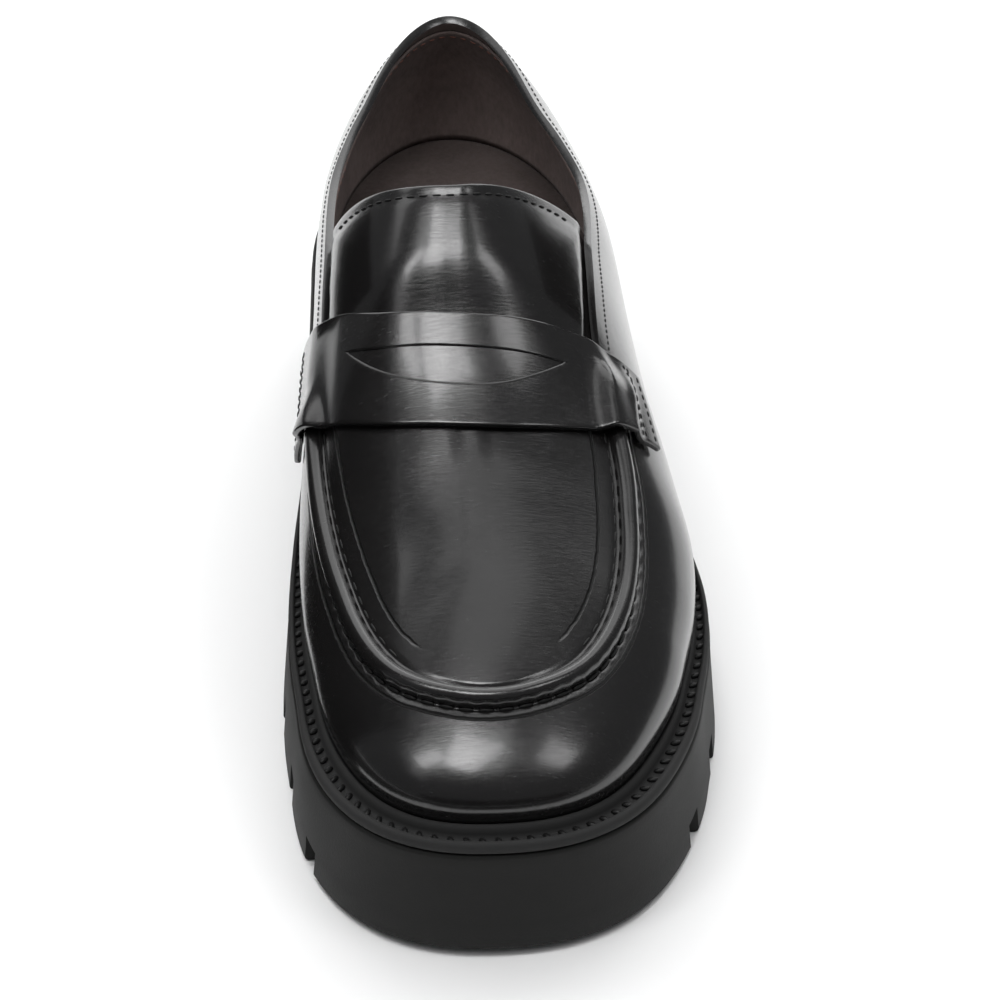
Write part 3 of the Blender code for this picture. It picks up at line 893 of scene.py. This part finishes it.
def upper_sheet(shape):
    """The upper's outer skin: walls and the seam all the way round, then the apron plug."""
    angles = round_ribs(*UPPER_RIBS)
    stitch_all = stitches_before(angles, shape)
    edge_all = sided("edge", angles)
    half_all = RIDGE_WIDTH / 2 / edge_rate(angles)
    across = ridge_rows()
    shares = np.linspace(0, 1, WALL_ROWS) ** WALL_CROWDING
    band = WALL_ROWS - 1 + len(CREASE_PLACES) + len(RIDGE_TURNS) - 1

    def rib(i, j):
        """The height up a rib of a row: the wall's rows, those across the seam, then the plug's."""
        edge, half = edge_all[i], half_all[i]
        low = edge + half * across[0]
        up_wall = low * shares[np.clip(j, 0, WALL_ROWS - 1)]
        k = np.clip(j - WALL_ROWS + 1, 0, len(across) - 1)
        up = np.where(j < WALL_ROWS - 1, up_wall, edge + half * across[k])
        high = edge + half
        plug = high + (1 - high) * np.linspace(0, 1, PLUG_ROWS + 1)[np.clip(j - band, 0, PLUG_ROWS)]
        return np.where(j > band, plug, up)

    def points(i, j):
        angle = angles[i]
        up = rib(i, j)
        place = (up - edge_all[i]) / half_all[i]
        behind = ease((share_round(angle) - THROAT) / 0.02)
        lift = seam_lift(angle, place, shape) + vamp_folds(angle, up) * (1 - behind * 0.4)
        where = skin(angle, up, lift)
        where[..., 2] -= 2 * GAP * (1 - ease(up / 0.04))
        marks = {"ridge": place * RIDGE_WIDTH / 2, "along": share_round(angle), "stitch": stitch_all[i]}
        return where, marks

    walls = lay("upper_walls", len(angles) - 1, band, points)
    front = np.flatnonzero(share_round(angles) <= THROAT + 1e-9)

    def plug_points(i, j):
        return points(front[0] + i, j + band)

    plug = lay("upper_plug", len(front) - 1, PLUG_ROWS, plug_points)
    return weld("upper_leather", [walls, plug])


class LOAFER_OT_upper(bpy.types.Operator):
    """Vamp, apron plug and quarters in brushed leather, with the rolled apron seam"""
    bl_idname = "loafer.upper"
    bl_label = "Upper"

    def execute(self, context):
        made = upper_sheet(context.scene.loafer_shape)
        kit = finishes(context)
        leathers = (kit["vamp_leather"], kit["suede_lining"], kit["plain_leather"])
        finish_sheet(made, "upper", "leather", leathers, WALL, UPPER_RIM)
        return {"FINISHED"}


class LOAFER_OT_lining(bpy.types.Operator):
    """Suede lining inside the quarters, ending below the collar"""
    bl_idname = "loafer.lining"
    bl_label = "Lining"

    def execute(self, context):
        shape = context.scene.loafer_shape
        angles = round_ribs(*LINING_RIBS)
        top = sided("edge", angles) + (RIDGE_WIDTH / 2 - shape.lining_drop) / edge_rate(angles)

        def points(i, j):
            share = LINING_START + (1 - LINING_START) * j / LINING_ROWS
            return skin(angles[i], top[i] * share ** LINING_CROWDING, -(WALL + LINING_GAP)), {}

        made = weld("suede_lining", [lay("lining", len(angles) - 1, LINING_ROWS, points)])
        suedes = [finishes(context)["suede_lining"]] * 3
        finish_sheet(made, None, "lining", suedes, LINING_WALL, LINING_RIM, segments=2)
        return {"FINISHED"}


def tongue_point(c, v):
    """Angle, up and lift of the tongue: c is -1 to 1 across it, and v is 0 under the vamp, 1 at its top."""
    side = np.where(c > 0, 1.0, -1.0)
    back = TONGUE_TOP + TONGUE_CORNER * c ** 2 - TONGUE_ROUNDING * c ** 8
    y = TOE_Y + SOLE_LENGTH * (TONGUE_START + (back - TONGUE_START) * v)
    angle = side * angle_of(0.5) * np.ones_like(c)
    for _ in range(8):
        low = sided("edge", angle) - TONGUE_TUCK / edge_rate(angle)
        up = 1 - np.abs(c) * (1 - low)
        angle = angle_at(side, up, y)
    hidden = -(WALL + TONGUE_GAP)
    behind_throat = (y - last(side * angle_of(THROAT), up)[..., 1]) / TONGUE_LIP
    inside_edge = (past_edge(angle, up) - RIDGE_WIDTH / 2) / TONGUE_LIP
    lift = hidden + WALL * ease((behind_throat - 0.3) / 4) * ease((inside_edge - 0.25) / 0.8)
    return angle, up, lift


class LOAFER_OT_tongue(bpy.types.Operator):
    """The tongue, from under the vamp to its stitched top edge"""
    bl_idname = "loafer.tongue"
    bl_label = "Tongue"

    def execute(self, context):
        columns, rows = TONGUE_GRID

        def points(i, j):
            v = j / rows
            angle, up, lift = tongue_point(i / columns * 2 - 1, v)
            lift = lift - TONGUE_DENT * bell((v - TONGUE_DENT_PLACE) / TONGUE_DENT_REACH)
            return skin(angle, up, lift), {}

        made = weld("tongue_leather", [lay("tongue_sheet", columns, rows, points)])
        kit = finishes(context)
        leathers = (kit["plain_leather"], kit["suede_lining"], kit["plain_leather"])
        finish_sheet(made, "tongue", "leather", leathers, TONGUE_THICKNESS, TONGUE_RIM)
        return {"FINISHED"}


def strap_lift(angle, up):
    """Height of the strap's underside, which climbs over the apron's ridge."""
    place = np.abs(past_edge(angle, up)) / STRAP_DRAPE
    hump = np.where(place < 1, np.cos(np.minimum(place, 1) * math.pi / 2) ** 2, 0.0)
    return STRAP_GAP + RIDGE_HEIGHT * ridge_fade(angle) * np.minimum(1.0, hump * 1.7)


# Soft folds of the strap: the place across it and from its front to its rear edge, and the reaches
STRAP_FOLD_COLUMNS = ("across", "share", "wide", "tall", "height")
STRAP_FOLDS = (
    (-0.60, 0.45, 0.06, 0.9, -0.5 * MM),
    (-0.72, 0.50, 0.05, 0.9, 0.5 * MM),
    (0.66, 0.40, 0.05, 0.8, 0.6 * MM),
    (0.78, 0.60, 0.05, 0.9, -0.5 * MM),
    (0.56, 0.80, 0.06, 0.5, -0.3 * MM),
)


def strap_point(across, share):
    """Angle, up and lift of the strap's top at a place across it and a share from front to rear."""
    drop = read(STRAP, STRAP_COLUMNS, "drop", across)
    up = 1 - np.abs(drop)
    front = read(STRAP, STRAP_COLUMNS, "front", across)
    rear = read(STRAP, STRAP_COLUMNS, "rear", across)
    side = np.where(drop > 0, 1.0, -1.0)
    y = TOE_Y + SOLE_LENGTH * (front + (rear - front) * share)
    angle = angle_at(side, up, y)
    lift = strap_lift(angle, up) + STRAP_THICKNESS
    for row in STRAP_FOLDS:
        fold = dict(zip(STRAP_FOLD_COLUMNS, row))
        beside = bell((across - fold["across"]) / fold["wide"])
        lift = lift + fold["height"] * beside * bell((share - fold["share"]) / fold["tall"])
    return angle, up, lift


def slot_edges(across):
    """Shares from front to rear of the penny slot's two edges; they meet outside the slot."""
    middle = (SLOT_INNER + SLOT_OUTER) / 2
    inside = np.minimum(np.abs(across - middle) / (SLOT_OUTER - middle), 1.0)
    centre = SLOT_MIDDLE + (SLOT_TIP - SLOT_MIDDLE) * inside ** 2
    return centre - SLOT_HALF * (1 - inside ** 2), centre + SLOT_HALF * (1 - inside ** 2)


class LOAFER_OT_strap(bpy.types.Operator):
    """The saddle strap with its penny slot and soft folds over the apron's seam"""
    bl_idname = "loafer.strap"
    bl_label = "Strap"

    def execute(self, context):
        end_columns = STRAP_COLUMNS_PER_END
        places = np.concatenate([
            np.linspace(-1, SLOT_INNER, end_columns),
            np.linspace(SLOT_INNER, SLOT_OUTER, SLOT_COLUMNS)[1:],
            np.linspace(SLOT_OUTER, 1, end_columns)[1:],
        ])

        def front_points(i, j):
            low, _ = slot_edges(places[i])
            return skin(*strap_point(places[i], low * j / STRAP_ROWS)), {}

        def rear_points(i, j):
            _, high = slot_edges(places[i])
            return skin(*strap_point(places[i], high + (1 - high) * j / STRAP_ROWS)), {}

        columns = len(places) - 1
        bands = [
            lay("strap_front", columns, STRAP_ROWS, front_points),
            lay("strap_rear", columns, STRAP_ROWS, rear_points),
        ]
        leathers = [finishes(context)["plain_leather"]] * 3
        made = weld("strap_leather", bands)
        finish_sheet(made, "strap", "leather", leathers, STRAP_THICKNESS, STRAP_RIM)
        self.backing(leathers)
        return {"FINISHED"}

    def backing(self, leathers):
        """The thin leather inside the strap that closes the slot from below, a little wider than it."""
        columns, rows = BACKING_GRID
        reach, margin = 0.03, 0.06

        def points(i, j):
            across = SLOT_INNER - reach + (SLOT_OUTER - SLOT_INNER + 2 * reach) * i / columns
            low, high = slot_edges(across)
            share = low - margin + (high - low + 2 * margin) * j / rows
            angle, up, lift = strap_point(across, share)
            return skin(angle, up, lift - BACKING_DEPTH), {}

        made = weld("slot_backing", [lay("slot_backing", columns, rows, points)])
        finish_sheet(made, None, "leather", leathers, BACKING_WALL, BACKING_RIM, segments=1)


def groove_places():
    """Distances from the toe of the cross grooves, before and behind the arch."""
    places = []
    place = FIRST_GROOVE
    while place + GROOVE_WIDTH < ARCH_START * SOLE_LENGTH:
        places.append(place)
        place += GROOVE_PITCH
    place = SOLE_LENGTH - HEEL_GROOVE
    while place - GROOVE_WIDTH > ARCH_END * SOLE_LENGTH:
        places.append(place)
        place -= GROOVE_PITCH
    return places


# Levels of the sole's side and lip, from its tread upwards

EDGE_SHARE = 0.3
SIDE_SHARES = (0.0, 0.25, 0.5, 0.75, 0.9, 1.0)
LIP_TURNS = np.radians((30, 60, 90))
GROOVE_REACH = 1.3 * SOLE_WIDTH

# The welt's section, in shares of its width from the lip inwards and of its thickness from its foot

WELT_LIP = FLARE + LIP_ROUND / 4
WELT_PROFILE = (
    (0.06, 0.0), (0.0, 0.14), (0.0, 0.55), (0.02, 0.78), (0.07, 0.93), (0.13, 1.0), (0.20, 1.0),
    (0.26, 0.94), (0.30, 0.66), (0.33, 0.36), (0.42, 0.26), (0.58, 0.26), (0.66, 0.36), (0.69, 0.72),
    (0.73, 1.06), (0.78, 1.24), (0.84, 1.36), (0.90, 1.36), (0.96, 1.18), (1.0, 0.93),
)
WELT_STITCH_PLACE = (0.49, 0.36)
WELT_STITCH_SLANT = math.radians(30)


def across_welt(share):
    return lambda angle: WELT_LIP + (feather_inset(angle) - WELT_LIP) * share


def up_welt(share):
    return lambda y: seat(y) + GAP + WELT_THICKNESS * share


def ring_piece(name, angles, levels, closed=False):
    """A piece through levels round the sole: inset, pull to the axis and height of each."""
    if closed:
        levels = levels + levels[:1]

    def points(i, j):
        where = np.zeros((len(i), 3))
        ends = np.array([0.0, math.pi])
        for number, (inset, pull, height) in enumerate(levels):
            here = j == number
            angle = angles[i[here]]
            x, y = ring(angle, inset(angle))
            toe, heel = ring(ends, inset(ends))[1]
            y = y + (toe + share_round(angle) * (heel - toe) - y) * pull
            where[here] = np.stack([x + (AXIS_X - x) * pull, y, height(y)], -1)
        return where, {}

    return weld(name, [lay(name, len(angles) - 1, len(levels) - 1, points)])


def finish_ring(made, node, slot, material, sharp):
    """Finishes a piece made of rings; its edges above an angle, in degrees, stay sharp."""
    only(made)
    bpy.ops.object.shade_smooth_by_angle(angle=math.radians(sharp))
    finish_piece(made, node, slot, material)


def carve(made, centre, size, turn):
    """Cuts a turned box out of a piece."""
    nothing_selected()
    bpy.ops.mesh.primitive_cube_add(size=1, location=centre, rotation=(0, 0, turn), scale=size)
    tool = bpy.context.active_object
    only(made)
    cut = made.modifiers.new("groove", "BOOLEAN")
    cut.operation = "DIFFERENCE"
    cut.solver = "EXACT"
    cut.object = tool
    bpy.ops.object.modifier_apply(modifier="groove")
    bpy.data.objects.remove(tool, do_unlink=True)


class LOAFER_OT_outsole(bpy.types.Operator):
    """The moulded lug sole, with its grooves, arch, heel and rounded lip"""
    bl_idname = "loafer.outsole"
    bl_label = "Outsole"

    def execute(self, context):
        def at(inset):
            return lambda angle: inset + 0 * angle

        def well(angle):
            return feather_inset(angle) + WELT_TUCK + GAP

        def side_at(share):
            def height(y):
                low = tread(y) + TREAD_EDGE
                return low + (seat(y) - LIP_ROUND - low) * share

            return height

        def lip_at(turn):
            return lambda y: seat(y) - LIP_ROUND * (1 - math.sin(turn))

        def plateau(y):
            return seat(y) + (WELT_THICKNESS + GAP)

        levels = [(at(TREAD_EDGE), pull, tread) for pull in (1.0, 0.5, 0.0)]
        levels.append((at(TREAD_EDGE * EDGE_SHARE), 0.0, lambda y: tread(y) + TREAD_EDGE * EDGE_SHARE))
        for share in SIDE_SHARES:
            levels.append((at(FLARE * min(1.0, share * 1.1)), 0.0, side_at(share)))
        for turn in LIP_TURNS:
            levels.append((at(FLARE + LIP_ROUND * (1 - math.cos(turn))), 0.0, lip_at(turn)))
        levels += [(well, 0.0, seat), (well, 0.0, plateau), (well, 1.0, plateau)]
        made = ring_piece("outsole_rubber", round_ribs(*SOLE_RIBS), levels)
        slant = math.atan2(GROOVE_SLANT, SOLE_WIDTH)
        groove = (GROOVE_REACH, GROOVE_WIDTH, GROOVE_DEPTH * 2)
        channel = (CHANNEL_WIDTH, SOLE_LENGTH - 2 * CHANNEL_END, CHANNEL_DEPTH * 2)
        for place in groove_places():
            carve(made, (AXIS_X, TOE_Y + place, 0.0), groove, slant)
        for side in (-1, 1):
            carve(made, (AXIS_X + side * CHANNEL_SPACING / 2, 0.0, 0.0), channel, 0.0)
        finish_ring(made, "outsole", "rubber", finishes(context)["sole_rubber"], 32)
        return {"FINISHED"}


class LOAFER_OT_welt(bpy.types.Operator):
    """The welt: rounded lip, sunk stitch channel and a bead beside the upper"""
    bl_idname = "loafer.welt"
    bl_label = "Welt"

    def execute(self, context):
        def tucked(angle):
            return feather_inset(angle) + WELT_TUCK

        levels = [(across_welt(share), 0.0, up_welt(height)) for share, height in WELT_PROFILE]
        for height in (WELT_PROFILE[-1][1], 0.0):
            levels.append((tucked, 0.0, up_welt(height)))
        made = ring_piece("welt_strip", round_ribs(*SOLE_RIBS), levels, closed=True)
        finish_ring(made, "welt", "welt_rubber", finishes(context)["welt_rubber"], 60)
        return {"FINISHED"}


class LOAFER_OT_insole(bpy.types.Operator):
    """The footbed, covered in the lining's suede"""
    bl_idname = "loafer.insole"
    bl_label = "Insole"

    def execute(self, context):
        base = WELT_THICKNESS + 2 * GAP

        def rim(more):
            return lambda angle: feather_inset(angle) + WALL + CURVED_GAP + more

        def high(share):
            return lambda y: seat(y) + base + INSOLE_THICKNESS * share

        levels = [
            (rim(0.0), 1.0, high(0.0)), (rim(0.0), 0.0, high(0.0)), (rim(0.0), 0.0, high(0.7)),
            (rim(0.4 * MM), 0.0, high(0.9)), (rim(1.2 * MM), 0.0, high(1.0)),
            (rim(1.2 * MM), 0.5, high(1.0)), (rim(1.2 * MM), 1.0, high(1.0)),
        ]
        made = ring_piece("insole_suede", round_ribs(*INSOLE_RIBS), levels)
        finish_ring(made, "insole", "lining", finishes(context)["footbed_suede"], 50)
        return {"FINISHED"}


# One stitch of each kind: length, width and height, and the sides of its round form
STITCHES = {
    "apron": (3.8 * MM, 0.8 * MM, 0.8 * MM, 8),
    "plug": (3.4 * MM, 0.7 * MM, 0.6 * MM, 8),
    "collar": (1.5 * MM, 0.55 * MM, 0.5 * MM, 6),
    "lining": (1.8 * MM, 0.5 * MM, 0.5 * MM, 6),
    "tongue": (2.3 * MM, 0.6 * MM, 0.55 * MM, 8),
    "strap": (1.8 * MM, 0.55 * MM, 0.5 * MM, 6),
    "welt": (1.6 * MM, 3.4 * MM, 1.5 * MM, 8),
}
LOOK_AHEAD = 0.2 * MM
STRAP_STITCH_PITCH = 2.4 * MM
LINING_STITCH_PITCH = 3.0 * MM
STRAP_STITCH_PLACES = (0.965, 0.89, 0.865)
TONGUE_STITCH_INSET = 2.7 * MM
TONGUE_STITCH_END = 0.8
LINING_STITCH_INSET = 2.2 * MM


def stitch_row(name, kind, path, pitch, slant=0.0):
    """Stitches at a pitch along a path: one small rounded form, copied and turned along the path."""
    points, normals = path
    length, width, height, sides = STITCHES[kind]
    way = np.linalg.norm(np.diff(points, axis=0), axis=1)
    travelled = np.concatenate([[0.0], np.cumsum(way)])
    count = max(1, int(travelled[-1] / pitch))
    at = (np.arange(count) + 0.5) * travelled[-1] / count

    def sample(values, where):
        return np.stack([np.interp(where, travelled, values[:, k]) for k in range(3)], -1)

    centres = sample(points, at)
    in_front = sample(points, np.minimum(at + LOOK_AHEAD, travelled[-1]))
    ahead = in_front - sample(points, np.maximum(at - LOOK_AHEAD, 0))
    up = sample(normals, at)
    nothing_selected()
    lying = (0, math.pi / 2, 0)
    bpy.ops.mesh.primitive_uv_sphere_add(segments=sides, ring_count=5, radius=0.5, rotation=lying)
    pattern = bpy.context.active_object
    bpy.ops.object.transform_apply(location=False, rotation=True, scale=True)
    copies = []
    for centre, forward, normal in zip(centres, ahead, up):
        z = Vector(normal).normalized()
        x = Vector(forward)
        x = (x - z * x.dot(z)).normalized()
        x = Matrix.Rotation(slant, 3, z) @ x
        y = z.cross(x)
        turned = Matrix((x * length, y * width, z * height)).transposed().to_4x4()
        copy = pattern.copy()
        copy.data = pattern.data.copy()
        copy.data.transform(Matrix.Translation(centre) @ turned)
        bpy.context.scene.collection.objects.link(copy)
        copies.append(copy)
    bpy.data.objects.remove(pattern, do_unlink=True)
    made = join_all(name, copies)
    bpy.ops.object.shade_smooth()
    return made


def round_collar(inset, lift):
    """A path round the heel at a distance below the collar's edge."""
    angles = np.linspace(COLLAR_SEAM_START, 2 * math.pi - COLLAR_SEAM_START, 600)
    angles = np.where(angles > math.pi, angles - 2 * math.pi, angles)
    up = sided("edge", angles) + (RIDGE_WIDTH / 2 - inset) / edge_rate(angles)
    return skin(angles, up, lift), skin_normal(angles, up)


class LOAFER_OT_stitches(bpy.types.Operator):
    """All visible stitches: apron, collar, lining, tongue, strap and welt"""
    bl_idname = "loafer.stitches"
    bl_label = "Stitches"

    def execute(self, context):
        shape = context.scene.loafer_shape
        kit = finishes(context)
        sides = (("inner", -1), ("outer", 1))
        rows = [stitch_row("apron_outer_stitches", "apron", outer_seam(), shape.apron_pitch)]
        for label, side in sides:
            path = beside_ridge(side * INNER_SEAM_START, side * SEAM_END, PLUG_SEAM, -0.1 * MM)
            rows.append(stitch_row(f"plug_{label}_stitches", "plug", path, shape.apron_pitch))
        path = round_collar(shape.collar_inset, 0.0)
        rows.append(stitch_row("collar_stitches", "collar", path, shape.collar_pitch))
        rows.append(stitch_row("tongue_stitches", "tongue", self.tongue_path(), shape.tongue_pitch))
        for label, side in sides:
            for number, place in enumerate(STRAP_STITCH_PLACES):
                name = f"strap_{label}_stitches_{number}"
                rows.append(stitch_row(name, "strap", self.strap_path(side * place), STRAP_STITCH_PITCH))
        for made in rows:
            finish_piece(made, None, "leather", kit["black_thread"])
        made = stitch_row("welt_stitches", "welt", self.welt_path(), shape.welt_pitch, WELT_STITCH_SLANT)
        finish_piece(made, None, "welt_rubber", kit["black_thread"])
        path = round_collar(shape.lining_drop + LINING_STITCH_INSET, -(WALL + 1.0 * MM))
        made = stitch_row("lining_stitches", "lining", path, LINING_STITCH_PITCH)
        finish_piece(made, None, "lining", kit["lining_thread"])
        return {"FINISHED"}

    def tongue_path(self):
        c = np.linspace(-TONGUE_STITCH_END, TONGUE_STITCH_END, 240)
        below_top = TONGUE_STITCH_INSET / (SOLE_LENGTH * (TONGUE_TOP - TONGUE_START))
        angle, up, lift = tongue_point(c, 1 - below_top * np.ones_like(c))
        return skin(angle, up, lift), skin_normal(angle, up)

    def strap_path(self, place):
        share = np.linspace(0.05, 0.95, 60)
        angle, up, lift = strap_point(np.full_like(share, place), share)
        return skin(angle, up, lift), skin_normal(angle, up)

    def welt_path(self):
        angles = np.linspace(-math.pi, math.pi, 900)
        across, high = WELT_STITCH_PLACE
        x, y = ring(angles, across_welt(across)(angles))
        normals = np.tile([0.0, 0.0, 1.0], (len(angles), 1))
        return np.stack([x, y, up_welt(high)(y)], -1), normals


# The stage, in metres, degrees and watts

FLOOR_SIZE = 12.0
FLOOR_COLOUR = (0.92, 0.92, 0.92)
CARD_COLOUR = (0.01, 0.01, 0.01)
WORLD_COLOUR = (0.96, 0.98, 1.0, 1.0)
WORLD_STRENGTH = 0.14
SHOE_MIDDLE = (0.0, -0.02, 0.05)
CAMERA_TARGET = (0.0015, -0.029, 0.055)
CAMERA_AZIMUTH = math.radians(-2.7)
CAMERA_ELEVATION = math.radians(37.5)
CAMERA_DISTANCE = 1.55
CAMERA_LENS = 215.4
CAMERA_SENSOR = 36.0
CAMERA_SHIFT = -0.015

# Area lights: name, place, size and power. The fill light is hidden from reflections.
FILL_LIGHT = ("fill_light", (0.0, 0.0, 2.4), (4.0, 4.0), 48.0)
LIGHTS = (
    ("near_ceiling", (-0.15, 0.15, 1.6), (3.2, 0.36), 2.9),
    ("far_ceiling", (-0.15, 0.90, 1.5), (3.2, 0.7), 9.4),
    ("left_window", (-0.62, -0.33, 1.5), (0.20, 0.46), 2.0),
    ("middle_window", (-0.14, -0.33, 1.55), (0.40, 0.46), 4.8),
    ("right_window", (0.66, -0.33, 1.5), (0.36, 0.46), 2.0),
    ("back_light", (0.0, 1.7, 0.9), (2.4, 1.1), 19.0),
)

# Dark cards that only reflections see: name, place, point that they face, and size
CARDS = (
    ("front_card", (0.0, -0.62, 0.002), (0.0, -0.62, 1.0), (1.4, 0.75)),
    ("front_wall", (0.0, -1.42, 0.26), SHOE_MIDDLE, (2.4, 0.5)),
    ("left_card", (-0.42, -0.22, 0.0015), (-0.42, -0.22, 1.0), (0.62, 0.5)),
    ("beside_card", (-0.078, -0.06, 0.05), (0.5, -0.06, 0.05), (0.10, 0.22)),
    ("inner_flag", (-0.050, 0.026, 0.096), (0.5, 0.026, 0.096), (0.048, 0.026)),
    ("outer_flag", (0.040, 0.026, 0.100), (-0.5, 0.026, 0.100), (0.048, 0.026)),
)


def soft_box(name, where, size, power):
    """A rectangular area light at a place, pointed at the shoe."""
    nothing_selected()
    bpy.ops.object.light_add(type="AREA", location=where)
    made = bpy.context.active_object
    made.name = name
    made.data.shape = "RECTANGLE"
    made.data.size, made.data.size_y = size
    made.data.energy = power
    made.rotation_mode = "QUATERNION"
    made.rotation_quaternion = (Vector(SHOE_MIDDLE) - Vector(where)).to_track_quat("-Z", "Y")
    return made


def plain_material(name, colour, roughness):
    """A matt material for the stage."""
    made = bpy.data.materials.new(name)
    made.use_nodes = True
    shader = made.node_tree.nodes["Principled BSDF"]
    shader.inputs["Base Color"].default_value = (*colour, 1.0)
    shader.inputs["Roughness"].default_value = roughness
    return made


def dark_card(name, where, at, size):
    """A card at a place, facing a point, that neither the camera nor diffuse light sees."""
    nothing_selected()
    bpy.ops.mesh.primitive_plane_add(size=1, location=where)
    made = bpy.context.active_object
    made.name = name
    made.scale = (*size, 1)
    made.rotation_mode = "QUATERNION"
    made.rotation_quaternion = (Vector(at) - Vector(where)).to_track_quat("Z", "Y")
    made.data.materials.append(plain_material(name, CARD_COLOUR, 0.9))
    made.visible_camera = False
    made.visible_shadow = False
    made.visible_diffuse = False


class LOAFER_OT_stage(bpy.types.Operator):
    """Pale floor, soft studio light and the camera"""
    bl_idname = "loafer.stage"
    bl_label = "Stage"

    def execute(self, context):
        nothing_selected()
        bpy.ops.mesh.primitive_plane_add(size=FLOOR_SIZE, location=(0, 0, 0))
        floor = bpy.context.active_object
        floor.name = "studio_floor"
        floor.data.materials.append(plain_material("studio_floor", FLOOR_COLOUR, 0.7))
        self.light(context)
        self.camera(context)
        return {"FINISHED"}

    def light(self, context):
        world = bpy.data.worlds.new("studio")
        context.scene.world = world
        world.use_nodes = True
        background = world.node_tree.nodes["Background"]
        background.inputs["Color"].default_value = WORLD_COLOUR
        background.inputs["Strength"].default_value = WORLD_STRENGTH
        context.scene.view_settings.view_transform = "Standard"
        soft_box(*FILL_LIGHT).visible_glossy = False
        for light in LIGHTS:
            soft_box(*light)
        for card in CARDS:
            dark_card(*card)

    def camera(self, context):
        flat = math.cos(CAMERA_ELEVATION)
        x, y = math.sin(CAMERA_AZIMUTH) * flat, -math.cos(CAMERA_AZIMUTH) * flat
        back = Vector((x, y, math.sin(CAMERA_ELEVATION)))
        nothing_selected()
        bpy.ops.object.camera_add(location=Vector(CAMERA_TARGET) + back * CAMERA_DISTANCE)
        made = bpy.context.active_object
        made.name = "photo_camera"
        made.rotation_mode = "QUATERNION"
        made.rotation_quaternion = (-back).to_track_quat("-Z", "Y")
        made.data.lens = CAMERA_LENS
        made.data.sensor_width = CAMERA_SENSOR
        made.data.shift_y = CAMERA_SHIFT
        context.scene.camera = made


class LOAFER_PT_panel(bpy.types.Panel):
    """Buttons for the loafer's pieces"""
    bl_label = "Lug sole loafer"
    bl_idname = "LOAFER_PT_panel"
    bl_space_type = "VIEW_3D"
    bl_region_type = "UI"
    bl_category = "Loafer"

    def draw(self, context):
        for group in (context.scene.loafer_shape, context.scene.loafer_looks):
            for name in type(group).__annotations__:
                self.layout.prop(group, name)
        for operator in PIECES:
            self.layout.operator(operator.bl_idname)


PIECES = (
    LOAFER_OT_outsole, LOAFER_OT_welt, LOAFER_OT_insole, LOAFER_OT_upper, LOAFER_OT_lining,
    LOAFER_OT_tongue, LOAFER_OT_strap, LOAFER_OT_stitches, LOAFER_OT_stage,
)
CLASSES = (LoaferShape, LoaferLooks, *PIECES, LOAFER_PT_panel)


def register():
    for item in CLASSES:
        bpy.utils.register_class(item)
    bpy.types.Scene.loafer_shape = bpy.props.PointerProperty(type=LoaferShape)
    bpy.types.Scene.loafer_looks = bpy.props.PointerProperty(type=LoaferLooks)


def unregister():
    del bpy.types.Scene.loafer_looks
    del bpy.types.Scene.loafer_shape
    for item in reversed(CLASSES):
        bpy.utils.unregister_class(item)


def main():
    register()
    nothing_selected()
    bpy.ops.loafer.outsole()
    bpy.ops.loafer.welt()
    bpy.ops.loafer.insole()
    bpy.ops.loafer.upper()
    bpy.ops.loafer.lining()
    bpy.ops.loafer.tongue()
    bpy.ops.loafer.strap()
    bpy.ops.loafer.stitches()
    bpy.ops.loafer.stage()


if __name__ == "__main__":
    main()
